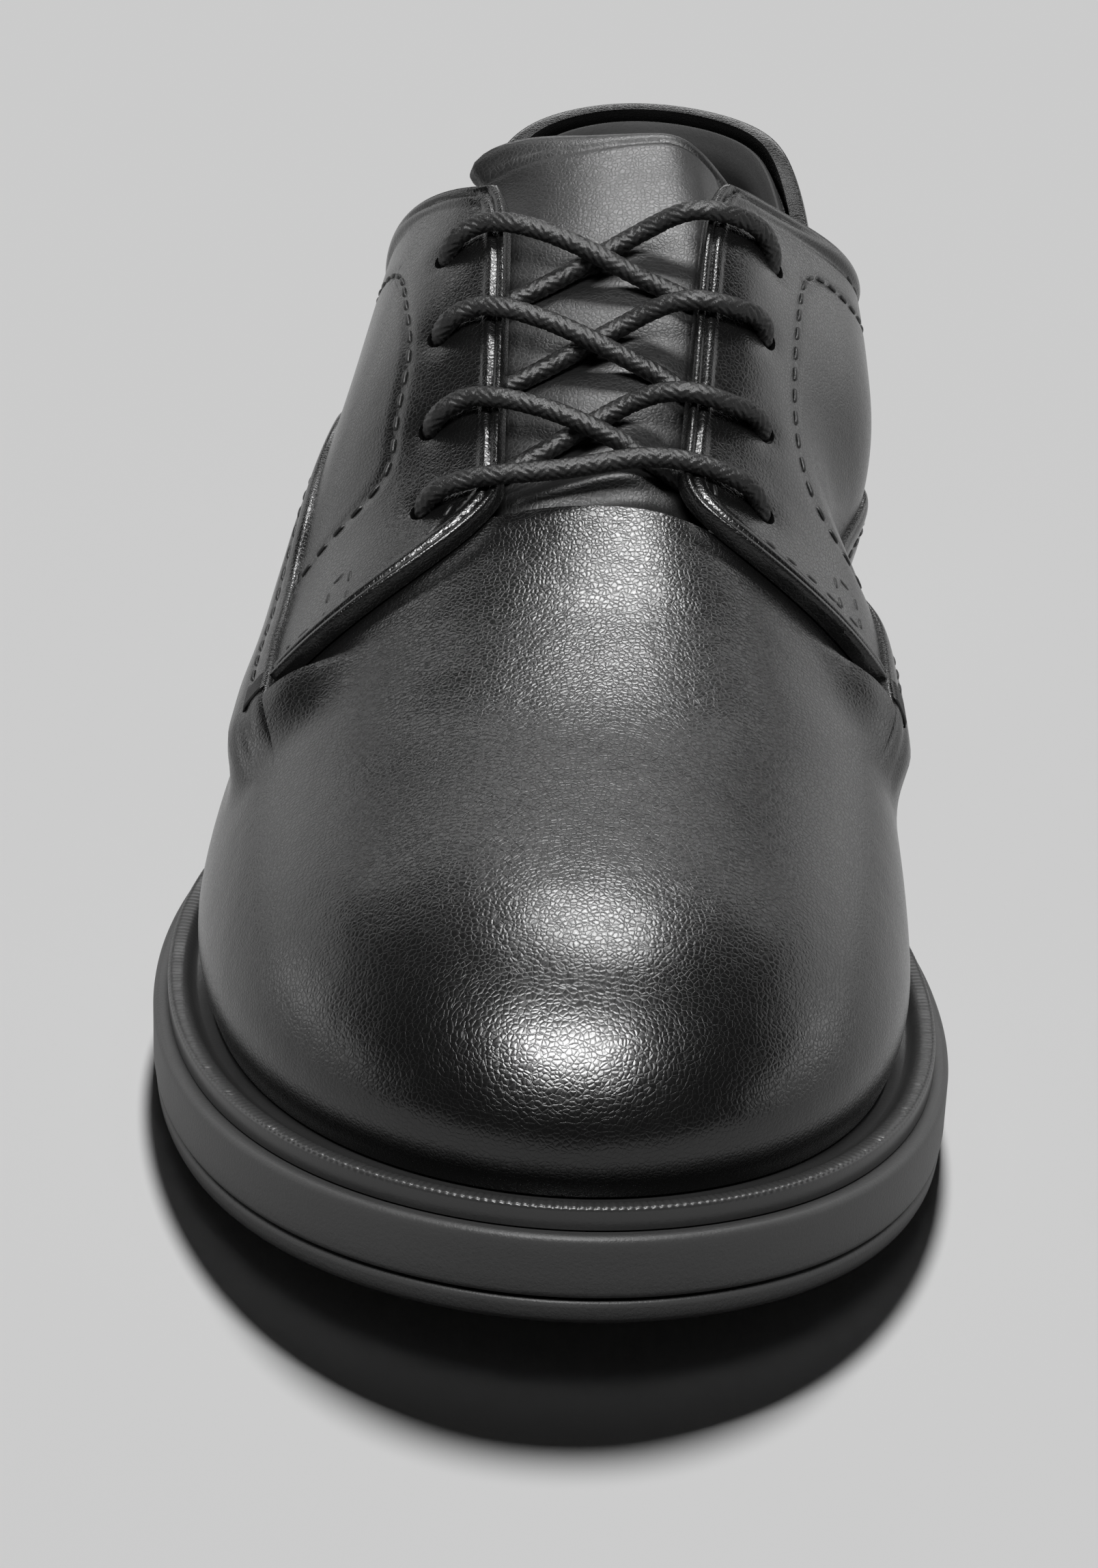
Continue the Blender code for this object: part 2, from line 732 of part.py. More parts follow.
def tongue_face(alongs, across, depth):
    """A face of the tongue, this deep under the last, whose edges stand up towards its top."""
    stand = np.clip(tongue_flare(-alongs), 0, 1)[:, None]
    straight = MEDIAL_SKEW * smooth_step(across / FACING_GAP + 0.5) * stand
    points = over_crest(alongs[:, None] - straight, across + TONGUE_SHIFT, -depth)
    flare = stand * np.where(across < 0, TONGUE_FLARE, INNER_FLARE) * (2 * across / TONGUE_WIDTH) ** 2
    return points + flare[..., None] * np.array([0.0, 0.0, 1.0])


def make_tongue():
    """The tongue, under the upper's wall, from inside the throat to its free top edge."""
    shell = Shell()
    alongs = ALONGS[(ALONGS < TONGUE[0][0]) & (ALONGS > TONGUE[-1][0])]
    alongs = np.concatenate([[TONGUE[-1][0]], alongs, [TONGUE[0][0]]])
    shares = np.linspace(-1, 1, TONGUE_COLUMNS)
    across = shares[None, :] * tongue_half(-alongs)[:, None] * TONGUE_WIDTH / 2
    faces = []
    outer = UPPER_WALL + TONGUE_SEAT
    for depth in (outer, outer + TONGUE_WALL):
        faces.append(tongue_face(alongs, across, depth))
        shell.grid(faces[-1])
    for edge in (np.s_[:, 0], np.s_[:, -1], np.s_[0, :], np.s_[-1, :]):
        shell.grid(np.stack([faces[0][edge], faces[1][edge]]))
    return shell.build("tongue", "tongue_leather")


def loop_turns(steps):
    return np.linspace(0, 2 * math.pi, steps, endpoint=False)


def ring(loop, inset, height):
    """A ring of points at a depth inside the sole's edge and a height over the tread."""
    plan = outline(loop, inset)
    return np.column_stack([plan, tread(plan[:, 1]) + height])


def make_plate(name, rings, finish):
    """A solid plate from rings of points, the first one its underside and the last one its top."""
    shell = Shell()
    shell.grid(np.array([np.vstack([points, points[:1]]) for points in rings]))
    half = OUTLINE_STEPS // 2
    for points in (rings[0], rings[-1]):
        lateral = points[: half + 1]
        medial = np.vstack([points[:1], points[: half - 1 : -1]])
        shell.grid(np.stack([lateral, medial]))
    return shell.build(name, finish)


def make_outsole():
    """The wearing layer: flat under the ball, raised to the waist, the heel seat and the toe."""
    loop = loop_turns(OUTLINE_STEPS)
    rings = [
        ring(loop, OUTSOLE_BEVEL + OUTSOLE_DRAFT, 0.0),
        ring(loop, 2 * OUTSOLE_DRAFT, OUTSOLE_BEVEL),
        ring(loop, OUTSOLE_DRAFT, OUTSOLE_TOP),
    ]
    return make_plate("outsole", rings, "sole_rubber")


def make_midsole():
    """The thick side wall of the sole, with a rounded shoulder under the welt."""
    loop = loop_turns(OUTLINE_STEPS)
    shoulder = MIDSOLE_SHOULDER
    rings = [
        ring(loop, PARTING_STEP, MIDSOLE_BASE),
        ring(loop, 0.0, MIDSOLE_BASE + MIDSOLE_FOOT),
        ring(loop, 0.0, MIDSOLE_TOP - shoulder),
        ring(loop, shoulder * 0.3, MIDSOLE_TOP - shoulder * 0.35),
        ring(loop, shoulder, MIDSOLE_TOP),
    ]
    return make_plate("midsole", rings, "sole_rubber")


# The welt's cross-section: how deep inside the sole's edge, as a share of reach(), and how high
WELT_SECTION = (
    # depth, height over the midsole
    (0.27, 0.0),
    (0.27, 0.88 * WELT_RIM),
    (0.31, WELT_RIM),
    (0.60, WELT_RIM),
    (0.74, WELT_BASE),
    (1.70, WELT_BASE),
    (1.70, 0.0),
)


def make_welt():
    """A strip all round the shoe, with a raised rim outside and a trough beside the upper."""
    loop = loop_turns(OUTLINE_STEPS)
    depth = reach(along_of(loop))
    shell = Shell()
    rings = [ring(loop, depth * share, WELT_FOOT + height) for share, height in WELT_SECTION]
    rings.append(rings[0])
    shell.grid(np.array([np.vstack([points, points[:1]]) for points in rings]))
    return shell.build("welt", "welt_rubber")


def make_insole():
    """The footbed: it fills the welt's ring and spreads over it to the upper's inner face."""
    loop = loop_turns(OUTLINE_STEPS)
    depth = reach(along_of(loop))
    inner = depth * WELT_SECTION[-1][0] + SEAT
    spread = depth + UPPER_WALL + INSOLE_CLEAR
    rings = [
        ring(loop, inner, WELT_FOOT),
        ring(loop, inner, FEATHER),
        ring(loop, spread, FEATHER),
        ring(loop, spread, FEATHER + INSOLE_THICKNESS - INSOLE_BEVEL),
        ring(loop, spread + INSOLE_BEVEL, FEATHER + INSOLE_THICKNESS),
    ]
    return make_plate("insole", rings, "lining")


def make_heel():
    """The heel block under the outsole, with a straight breast."""
    breast = float(turn_of(HEEL_BLOCK_LENGTH / SOLE_LENGTH))
    loop = np.linspace(-breast, breast, HEEL_STEPS + 1)
    foot, side = outline(loop, HEEL_TAPER + HEEL_BEVEL), outline(loop, HEEL_TAPER)
    head = outline(loop, PARTING_STEP)
    rings = [
        np.column_stack([foot, np.zeros(len(loop))]),
        np.column_stack([side, np.full(len(loop), HEEL_BEVEL)]),
        np.column_stack([head, tread(head[:, 1]) - SEAT]),
    ]
    shell = Shell()
    shell.grid(np.array(rings))
    half = HEEL_STEPS // 2
    for points in (rings[0], rings[-1]):
        shell.grid(np.stack([points[half::-1], points[half:]]))
    front = np.array([[points[0], points[-1]] for points in rings])
    shell.grid(front)
    return shell.build("heel", "sole_rubber")


QUARTER_TOP = QUARTER_SEAT + QUARTER_WALL + BEAD_HEIGHT
LACE_LIFT = QUARTER_TOP + LACE_CLEAR + LACE_RADIUS


def lace_lift(across):
    """A lace lies on both facings and is drawn straight across the tongue between them."""
    return LACE_LIFT - LACE_DIP * (1 - smooth_step(np.abs(across) / (FACING_GAP / 2)))


def make_bar():
    """The straight lace across the lowest pair of eyelets."""
    across = np.linspace(-EYELET_SPREAD / 2, EYELET_SPREAD / 2, LACE_STEPS + 1)
    return tube_mesh(strand("lace_bar", over_crest(EYELET_ROWS[0], across, lace_lift(across))))


def crossing(row, start, hump):
    """A strand from an eyelet, over its facing, down to the other facing's edge one row below."""
    first = start * EYELET_SPREAD / 2
    last = -start * (facing_gap(EYELET_ROWS[row - 1]) / 2 - LACE_RADIUS - LACE_CLEAR)
    advance = (EYELET_ROWS[row - 1] - EYELET_ROWS[row]) * (first - last) / (2 * first)
    share = np.linspace(0, 1, LACE_STEPS + 1)
    across = first + (last - first) * share
    along = EYELET_ROWS[row] + advance * share
    over = hump * (1 - smooth_step(np.abs(across) / (FACING_GAP / 2)))
    dive = (LACE_LIFT - LACE_RADIUS) * smooth_step(across / last)
    return over_crest(along, across, lace_lift(across) + over - dive)


def make_cross(row):
    """Two strands of lace, joined where they cross over the tongue."""
    over = tube_mesh(strand(f"lace_cross_{row}", crossing(row, LATERAL, LACE_OVER)))
    under = tube_mesh(strand(f"lace_under_{row}", crossing(row, MEDIAL, 0.0)))
    under.hide_render = True
    under.display_type = "WIRE"
    join = over.modifiers.new("join", "BOOLEAN")
    join.operation = "UNION"
    join.object = under
    return over


def strand(name, points):
    """A round lace along a line of points."""
    data = bpy.data.curves.new(name, "CURVE")
    data.dimensions = "3D"
    line = data.splines.new("POLY")
    line.points.add(len(points) - 1)
    for spot, place in zip(line.points, points):
        spot.co = (*place, 1.0)
    data.bevel_depth = LACE_RADIUS
    data.bevel_resolution = LACE_SIDES_RESOLUTION
    data.use_fill_caps = True
    item = bpy.data.objects.new(name, data)
    bpy.context.scene.collection.objects.link(item)
    return item


def tube_mesh(item):
    """The strand as a closed mesh object of the same name."""
    name = item.name
    graph = bpy.context.evaluated_depsgraph_get()
    mesh = bpy.data.meshes.new_from_object(item.evaluated_get(graph))
    bpy.data.objects.remove(item, do_unlink=True)
    shape = bmesh.new()
    shape.from_mesh(mesh)
    bmesh.ops.remove_doubles(shape, verts=shape.verts, dist=1e-6)
    bmesh.ops.recalc_face_normals(shape, faces=shape.faces)
    shape.to_mesh(mesh)
    shape.free()
    mesh.materials.clear()
    mesh.materials.append(material("waxed_cord"))
    made = bpy.data.objects.new(name, mesh)
    bpy.context.scene.collection.objects.link(made)
    return made


def main():
    clear_scene()
    make_outsole()
    make_midsole()
    make_heel()
    make_welt()
    make_insole()
    upper = make_upper()
    for name, side in (("quarter_lateral", LATERAL), ("quarter_medial", MEDIAL)):
        quarter, cutter = make_quarter(name, side), make_eyelet_cutter(side)
        punch(quarter, cutter)
        punch(upper, cutter)
    make_tongue()
    make_bar()
    for row in range(1, len(EYELET_ROWS)):
        make_cross(row)


main()
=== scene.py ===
"""Dresses a packed right-foot plain-toe derby shoe: leather, stitching, laces, welt, sole and stage.

Metres. The toe points to -Y, the inner (medial) side of the foot is at +X, and the floor is Z = 0.
"""

import json
import math

import bmesh
import bpy
import numpy as np
from mathutils import Matrix, Vector
from mathutils.kdtree import KDTree

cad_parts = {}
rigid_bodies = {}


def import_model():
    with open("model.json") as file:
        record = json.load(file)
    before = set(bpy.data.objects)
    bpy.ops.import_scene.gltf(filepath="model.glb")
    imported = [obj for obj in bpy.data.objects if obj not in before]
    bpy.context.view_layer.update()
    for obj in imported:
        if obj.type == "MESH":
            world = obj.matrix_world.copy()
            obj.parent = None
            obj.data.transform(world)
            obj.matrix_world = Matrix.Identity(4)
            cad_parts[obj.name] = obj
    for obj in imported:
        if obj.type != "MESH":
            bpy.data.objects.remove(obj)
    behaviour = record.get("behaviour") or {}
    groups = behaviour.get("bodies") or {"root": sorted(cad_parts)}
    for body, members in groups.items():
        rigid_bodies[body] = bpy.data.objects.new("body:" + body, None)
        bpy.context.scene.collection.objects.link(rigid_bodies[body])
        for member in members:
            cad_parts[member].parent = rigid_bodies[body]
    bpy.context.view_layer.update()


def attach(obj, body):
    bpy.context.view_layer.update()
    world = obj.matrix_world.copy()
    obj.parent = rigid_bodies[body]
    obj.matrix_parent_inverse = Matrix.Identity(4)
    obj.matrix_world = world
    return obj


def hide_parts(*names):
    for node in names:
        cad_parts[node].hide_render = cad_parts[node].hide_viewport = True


bl_info = {
    "name": "Plain-toe derby shoe",
    "version": (1, 0, 0),
    "blender": (4, 5, 0),
    "location": "View3D > Sidebar > Shoe",
    "description": "Builds a black leather derby shoe around its packed solids",
    "category": "Object",
}

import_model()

LATERAL, MEDIAL = -1, 1

# Driving sizes of the sole, as in the solids
SOLE_LENGTH = 0.305
SOLE_WIDTH = 0.116
OUTSOLE_THICKNESS = 0.0036
MIDSOLE_THICKNESS = 0.0090
HEEL_BLOCK_HEIGHT = 0.0130
HEEL_BLOCK_LENGTH = 0.080
TOE_SPRING = 0.0082
WELT_BASE = 0.0020
WELT_REACH = 0.0080
WAIST_REACH = 0.0062
INSOLE_THICKNESS = 0.0035
SEAT = 0.0003

# Driving sizes of the upper
CREST_HEIGHT = 0.118
LEATHER = 0.0013
QUARTER_WALL = 0.0022
QUARTER_SEAT = 0.0004
WING_WALL = 0.0013
UPPER_WALL = 0.0020
COLLAR_PAD = 0.0025
FEATHER_TUCK = 0.0022
TUCK_HEIGHT = 0.011
HEEL_SWELL = 0.0100
HEEL_LEAN = 0.0144
HEEL_FORM_END = 0.35
BACK_SHARE = 0.5
SWELL_RISE = 1.25
QUARTER_FACE = QUARTER_SEAT + QUARTER_WALL

# Driving sizes of the lacing
FACING_GAP = 0.0295
NOSE_GAP = 0.0240
EYELET_SPREAD = 0.0465
TONGUE_WIDTH = 0.056
TONGUE_SHIFT = -0.0018
TONGUE_FLARE = 0.0105
INNER_FLARE = 0.0020
TONGUE_WALL = 0.0032
TONGUE_SEAT = 0.0010
LACING_CENTRE = 0.0024
EYELET_RADIUS = 0.0019
LACE_RADIUS = 0.00155
EYELET_ROWS = (0.630, 0.586, 0.542, 0.498)
MEDIAL_SKEW = -0.013

SOLE_PLAN = (
    # along, centre, half width
    (0.00, 0.046, 0.000),
    (0.03, 0.045, 0.216),
    (0.10, 0.040, 0.326),
    (0.20, 0.025, 0.340),
    (0.30, 0.001, 0.333),
    (0.40, -0.024, 0.331),
    (0.50, -0.040, 0.364),
    (0.60, -0.036, 0.434),
    (0.68, -0.022, 0.482),
    (0.75, -0.008, 0.492),
    (0.83, 0.008, 0.462),
    (0.90, 0.020, 0.390),
    (0.96, 0.028, 0.264),
    (1.00, 0.031, 0.000),
)
LAST_SECTIONS = (
    # along, crest, ridge, square, outer, inner
    (0.00, 1.000, 0.000, 2.10, 0.000, 0.000),
    (0.05, 0.998, 0.000, 2.10, -0.042, -0.036),
    (0.15, 0.990, 0.010, 2.15, -0.062, -0.052),
    (0.28, 0.955, 0.045, 2.50, -0.032, 0.012),
    (0.36, 0.905, 0.080, 2.55, -0.004, 0.088),
    (0.43, 0.833, 0.130, 2.80, 0.004, 0.116),
    (0.49, 0.774, 0.195, 3.05, -0.004, 0.090),
    (0.54, 0.698, 0.155, 2.85, -0.004, 0.030),
    (0.60, 0.599, 0.098, 2.15, 0.010, 0.072),
    (0.66, 0.508, 0.085, 2.15, 0.005, 0.045),
    (0.73, 0.425, 0.055, 2.20, 0.000, 0.018),
    (0.80, 0.362, 0.030, 2.25, 0.000, 0.004),
    (0.87, 0.305, 0.010, 2.30, 0.000, 0.000),
    (0.92, 0.250, 0.004, 2.25, 0.000, 0.000),
    (0.96, 0.180, 0.000, 2.20, 0.000, 0.000),
    (1.00, 0.000, 0.000, 2.20, 0.000, 0.000),
)
TOPLINE = (
    # along, outer height, inner height
    (0.00, 0.517, 0.517),
    (0.07, 0.478, 0.493),
    (0.15, 0.408, 0.438),
    (0.23, 0.378, 0.412),
    (0.30, 0.408, 0.437),
    (0.36, 0.497, 0.513),
    (0.40, 0.607, 0.615),
    (0.43, 0.690, 0.692),
    (0.455, 0.757, 0.757),
    (0.470, 0.800, 0.800),
)
QUARTER_LOW = (
    # along, height
    (0.00, 0.005),
    (0.20, 0.005),
    (0.28, 0.012),
    (0.345, 0.060),
    (0.40, 0.130),
    (0.46, 0.165),
    (0.53, 0.172),
    (0.58, 0.186),
    (0.62, 0.212),
    (0.66, 0.242),
    (0.69, 0.256),
    (0.74, 0.250),
    (0.85, 0.200),
    (0.93, 0.120),
    (0.97, 0.055),
    (1.00, 0.000),
)
TONGUE = (
    # along, width as a share of TONGUE_WIDTH, how far its edges stand up as a share of the flare
    (0.690, 0.54, 0.00),
    (0.640, 0.76, 0.00),
    (0.560, 0.90, 0.00),
    (0.500, 0.96, 0.00),
    (0.468, 0.92, 0.00),
    (0.450, 0.772, 0.27),
    (0.440, 0.82, 0.65),
    (0.435, 0.82, 0.85),
    (0.432, 0.68, 1.00),
)
PITCH_END = 0.58
PITCH_START = 0.26
SPRING_START = 0.71
WAIST_END = 0.34
TREAD_START = 0.60
FACING_NOSE = 0.652
THROAT = 0.643
CORNER_SHARPNESS = 12
CORNER_SLOPE = 10.0
COLLAR_PAD_END = 0.36
HEM = 0.004
HEM_FADE = 0.05
WING_REAR = 0.33
WING_GROWTH = 0.03
WING_FADE = 0.11
WING_END = 0.055
WING_LAP = -0.004

# The flap's front edge on each side: where its foremost point lies, over which length it closes, how
# high that point stands between lower and upper edge, and how square the curve is.
FLAP_FRONT = {
    # along, length, height, square
    LATERAL: (0.684, 0.052, 0.16, 1.70),
    MEDIAL: (0.652, 0.034, 0.34, 2.60),
}

# Soft troughs (positive depth) and ridges (negative) of the worn-in vamp. Across is a share of
# SOLE_WIDTH to the inner side, half length runs across the shoe and half width along it.
CREASES = (
    # along, across, half length, half width, depth
    (0.903, 0.050, 0.0130, 0.0040, 0.00009),
    (0.868, 0.050, 0.0300, 0.0080, -0.00005),
    (0.770, 0.020, 0.0260, 0.0080, 0.00030),
    (0.735, -0.160, 0.0110, 0.0060, -0.00020),
    (0.725, 0.240, 0.0100, 0.0060, -0.00022),
    (0.700, 0.060, 0.0140, 0.0050, 0.00014),
)

# The stitched line round the quarter, from the vamp's wing up beside the eyelets and back below the
# topline. Height is over the feather line, as a share of CREST_HEIGHT.
SEAM_BEHIND = (
    # along, height
    (0.350, 0.400),
    (0.280, 0.345),
    (0.200, 0.340),
    (0.120, 0.370),
    (0.050, 0.412),
    (0.004, 0.425),
)
QUARTER_SEAM = {
    LATERAL: (
        (0.606, 0.366),
        (0.604, 0.420),
        (0.602, 0.462),
        (0.594, 0.505),
        (0.576, 0.545),
        (0.556, 0.588),
        (0.532, 0.630),
        (0.500, 0.652),
        (0.472, 0.645),
        (0.440, 0.590),
        (0.400, 0.490),
        *SEAM_BEHIND,
    ),
    MEDIAL: (
        (0.592, 0.366),
        (0.588, 0.410),
        (0.584, 0.452),
        (0.575, 0.492),
        (0.558, 0.536),
        (0.536, 0.580),
        (0.505, 0.628),
        (0.473, 0.650),
        (0.446, 0.628),
        (0.420, 0.555),
        (0.390, 0.480),
        *SEAM_BEHIND,
    ),
}


def smooth_curve(xs, ys):
    """A cubic through the points whose slope and bend run on without a step."""
    xs = np.asarray(xs, float)
    ys = np.asarray(ys, float)
    count = len(xs)
    gap = np.diff(xs)
    matrix = np.zeros((count, count))
    right = np.zeros(count)
    matrix[0, 0] = matrix[-1, -1] = 1.0
    for i in range(1, count - 1):
        matrix[i, i - 1 : i + 2] = gap[i - 1], 2 * (gap[i - 1] + gap[i]), gap[i]
        right[i] = 6 * ((ys[i + 1] - ys[i]) / gap[i] - (ys[i] - ys[i - 1]) / gap[i - 1])
    bend = np.linalg.solve(matrix, right)

    def value(x):
        x = np.clip(np.asarray(x, float), xs[0], xs[-1])
        k = np.clip(np.searchsorted(xs, x, side="right") - 1, 0, count - 2)
        d, g = x - xs[k], gap[k]
        slope = (ys[k + 1] - ys[k]) / g - g * (2 * bend[k] + bend[k + 1]) / 6
        return ys[k] + d * slope + d**2 * bend[k] / 2 + d**3 * (bend[k + 1] - bend[k]) / (6 * g)

    return value


def smooth_step(x):
    x = np.clip(x, 0.0, 1.0)
    return x**3 * (10 - 15 * x + 6 * x**2)


def bell(x, centre, half):
    """A soft rise of height 1 round a centre."""
    return np.exp(-(((x - centre) / half) ** 2))


def column(table, index):
    return [row[index] for row in table]


def table_curve(table, index, power=1):
    """A smooth curve of one column of a table over its first."""
    return smooth_curve(column(table, 0), np.power(column(table, index), power))


plan_centre = table_curve(SOLE_PLAN, 1)
plan_half_squared = table_curve(SOLE_PLAN, 2, 2)
crest_squared = table_curve(LAST_SECTIONS, 1, 2)
ridge_share = table_curve(LAST_SECTIONS, 2)
section_square = table_curve(LAST_SECTIONS, 3)
swell_share = {LATERAL: table_curve(LAST_SECTIONS, 4), MEDIAL: table_curve(LAST_SECTIONS, 5)}
topline_height = {LATERAL: table_curve(TOPLINE, 1), MEDIAL: table_curve(TOPLINE, 2)}
low_height = table_curve(QUARTER_LOW, 1)
tongue_half = smooth_curve([-row[0] for row in TONGUE], column(TONGUE, 1))
tongue_flare = smooth_curve([-row[0] for row in TONGUE], column(TONGUE, 2))


def along_of(turn):
    return (1 - np.cos(turn)) / 2


def turn_of(along):
    return np.arccos(1 - 2 * np.clip(along, 0.0, 1.0))


def share_at(y):
    """The share of SOLE_LENGTH from the heel at which y lies."""
    return np.clip(0.5 - y / SOLE_LENGTH, 0.0, 1.0)


def sole_middle():
    """The middle of the sole's width, which is moved onto the origin."""
    along = np.linspace(0, 1, 400)
    half = np.sqrt(np.maximum(plan_half_squared(along), 0))
    centre = plan_centre(along)
    return ((centre + half).max() + (centre - half).min()) / 2 * SOLE_WIDTH


MIDDLE = sole_middle()


def edge_point(loop):
    """A point of the sole's edge. Loop runs from the heel over the lateral side to the toe and back."""
    along = np.clip(along_of(loop), 1e-7, 1 - 1e-7)
    half = np.sqrt(np.maximum(plan_half_squared(along), 0) / (4 * along * (1 - along)))
    x = (plan_centre(along) - np.sin(loop) * half) * SOLE_WIDTH - MIDDLE
    return np.stack([x, (0.5 - along_of(loop)) * SOLE_LENGTH], -1)


def outline(loop, inset):
    """The sole's edge moved inwards by inset."""
    loop = np.asarray(loop, float)
    step = 1e-3
    ahead = edge_point(loop + step) - edge_point(loop - step)
    ahead /= np.linalg.norm(ahead, axis=-1, keepdims=True)
    inward = np.stack([-ahead[..., 1], ahead[..., 0]], -1)
    return edge_point(loop) + inward * np.asarray(inset)[..., None]


def reach(along):
    """How far the feather line lies inside the sole's edge."""
    growth = smooth_step((along - WAIST_END) / (TREAD_START - WAIST_END))
    return WAIST_REACH + (WELT_REACH - WAIST_REACH) * growth


def tread(y):
    """Height of the outsole's underside over the floor."""
    along = share_at(y)
    pitch = 1 - smooth_step((along - PITCH_START) / (PITCH_END - PITCH_START))
    spring = np.clip((along - SPRING_START) / (1 - SPRING_START), 0, 1) ** 2
    return HEEL_BLOCK_HEIGHT * pitch + TOE_SPRING * spring


MIDSOLE_BASE = OUTSOLE_THICKNESS + SEAT
MIDSOLE_TOP = MIDSOLE_BASE + MIDSOLE_THICKNESS
WELT_FOOT = MIDSOLE_TOP + SEAT
FEATHER = WELT_FOOT + WELT_BASE + SEAT


def crest_height(along):
    """Height of the crest over the feather line."""
    return np.sqrt(np.maximum(crest_squared(along), 0)) * CREST_HEIGHT


def climb(distance, along):
    """A distance up the last as a share of the crest's height there."""
    return distance / np.maximum(crest_height(along), 1e-3)


def skin_base(turn, rise, side):
    """The last's surface with no thickness."""
    turn, rise = np.broadcast_arrays(np.asarray(turn, float), np.asarray(rise, float))
    along = along_of(turn)
    bulge = reach(along) - FEATHER_TUCK
    lateral, medial = outline(turn, bulge), outline(2 * math.pi - turn, bulge)
    share = 0.5 + ridge_share(along)
    crest = lateral + (medial - lateral) * share[..., None]
    foot = lateral if side == LATERAL else medial
    power = 2 / section_square(along)
    angle = rise ** (1 / power) * math.pi / 2
    across = np.abs(np.cos(angle)) ** power
    up = np.abs(np.sin(angle)) ** power
    height = crest_height(along) * up
    plan = crest + (foot - crest) * across[..., None]
    tuck = FEATHER_TUCK * np.clip(1 - height / TUCK_HEIGHT, 0, 1) ** 2
    tuck = tuck - swell_share[side](along) * SOLE_WIDTH * np.sin(math.pi * up**SWELL_RISE) ** 2
    inward = outline(turn if side == LATERAL else 2 * math.pi - turn, bulge + 1e-3) - foot
    inward = inward / 1e-3 * np.stack([across, np.ones_like(across)], -1)
    plan = plan + inward * tuck[..., None]
    x, y = plan[..., 0], plan[..., 1]
    rear = np.clip(1 - along / HEEL_FORM_END, 0, 1) ** 2
    back = np.clip(height / (BACK_SHARE * CREST_HEIGHT), 0, 1.2)
    z = tread(y) + FEATHER + height
    y = y + rear * (HEEL_SWELL * back - HEEL_LEAN * back**2)
    return np.stack([x, y, z], -1)


def skin_normal(turn, rise, side):
    """The outward normal of the last's surface."""
    step = 1e-3
    turn = np.clip(turn, step, math.pi - 6 * step)
    rise = np.clip(rise, step, 1.0)
    down = np.maximum(rise - step, 0)
    up = np.minimum(rise + step, 1)
    by_turn = skin_base(turn + step, rise, side) - skin_base(turn - step, rise, side)
    by_rise = skin_base(turn, up, side) - skin_base(turn, down, side)
    normal = np.cross(by_turn, by_rise) * -side
    length = np.linalg.norm(normal, axis=-1, keepdims=True)
    return normal / np.maximum(length, 1e-12)


def skin(turn, rise, side, lift=0.0):
    """A point of the last's surface, moved out along its normal by lift."""
    turn, rise, lift = np.broadcast_arrays(
        np.asarray(turn, float), np.asarray(rise, float), np.asarray(lift, float)
    )
    return skin_base(turn, rise, side) + skin_normal(turn, rise, side) * lift[..., None]


def rise_at_gap(along, gap, side):
    """The rise at which the surface lies gap to this side of the crest."""
    turn = turn_of(along)
    inset = reach(along) - FEATHER_TUCK
    width = np.linalg.norm(outline(turn, inset) - outline(2 * math.pi - turn, inset), axis=-1)
    share = np.clip(gap / np.maximum(width * (0.5 - side * ridge_share(along)), 1e-6), 0, 1)
    square = section_square(along) / 2
    return (np.arccos(share**square) * 2 / math.pi) ** (1 / square)


def rise_at_height(along, share):
    """The rise at which the surface lies this share of CREST_HEIGHT over the feather line."""
    height = np.clip(share * CREST_HEIGHT / np.maximum(crest_height(along), 1e-6), 0, 1)
    square = section_square(along) / 2
    return (np.arcsin(height**square) * 2 / math.pi) ** (1 / square)


def low_rise(along):
    """The quarter's lower edge, which is also the top edge of the vamp's wing."""
    return rise_at_height(along, np.maximum(low_height(along), HEM))


def crest_x(along):
    """Where the crest lies across the shoe."""
    turn = turn_of(along)
    inset = reach(along) - FEATHER_TUCK
    lateral, medial = outline(turn, inset)[..., 0], outline(2 * math.pi - turn, inset)[..., 0]
    return lateral + (medial - lateral) * (0.5 + ridge_share(along))


def beside_crest(gap, side, along):
    """How far from the crest a point lies that is gap to one side of the lacing's middle line."""
    return gap + side * (LACING_CENTRE - crest_x(along))


def facing_rise(along, gap, side):
    """The topline, and from its top corner on the facing's edge at half the gap."""
    last = TOPLINE[-1][0]
    behind = np.minimum(along, last)
    line = rise_at_height(behind, topline_height[side](behind))
    line = line + CORNER_SLOPE * np.maximum(along - last, 0)
    edge = rise_at_gap(along, beside_crest(gap / 2, side, along), side)
    edge = np.where(along < COLLAR_PAD_END, 1.2, edge)
    both = np.exp(-CORNER_SHARPNESS * line) + np.exp(-CORNER_SHARPNESS * edge)
    return -np.log(both) / CORNER_SHARPNESS


def facing_gap(along):
    """The gap between the facings, which narrows from their top corners to their noses."""
    part = np.clip((along - TOPLINE[-1][0]) / (FACING_NOSE - TOPLINE[-1][0]), 0, 1)
    return FACING_GAP + (NOSE_GAP - FACING_GAP) * part


def over_crest(along, across, lift):
    """Points across to the medial side of the lacing's middle, lifted off the last."""
    along, across = np.broadcast_arrays(np.asarray(along, float), np.asarray(across, float))
    along = along + MEDIAL_SKEW * smooth_step(across / FACING_GAP + 0.5)
    offset = beside_crest(across, MEDIAL, along)
    halves = [
        skin(turn_of(along), rise_at_gap(along, np.abs(offset), side), side, lift)
        for side in (LATERAL, MEDIAL)
    ]
    return np.where(offset[..., None] < 0, *halves)


def length(label, text, metres):
    """A length that the panel shows."""
    return bpy.props.FloatProperty(
        name=label, description=text, default=metres, unit="LENGTH", precision=5
    )


def colour(label, text, grey):
    """A colour that the panel shows, grey at first."""
    return bpy.props.FloatVectorProperty(
        name=label, description=text, default=(grey, grey, grey), subtype="COLOR", min=0, max=1
    )


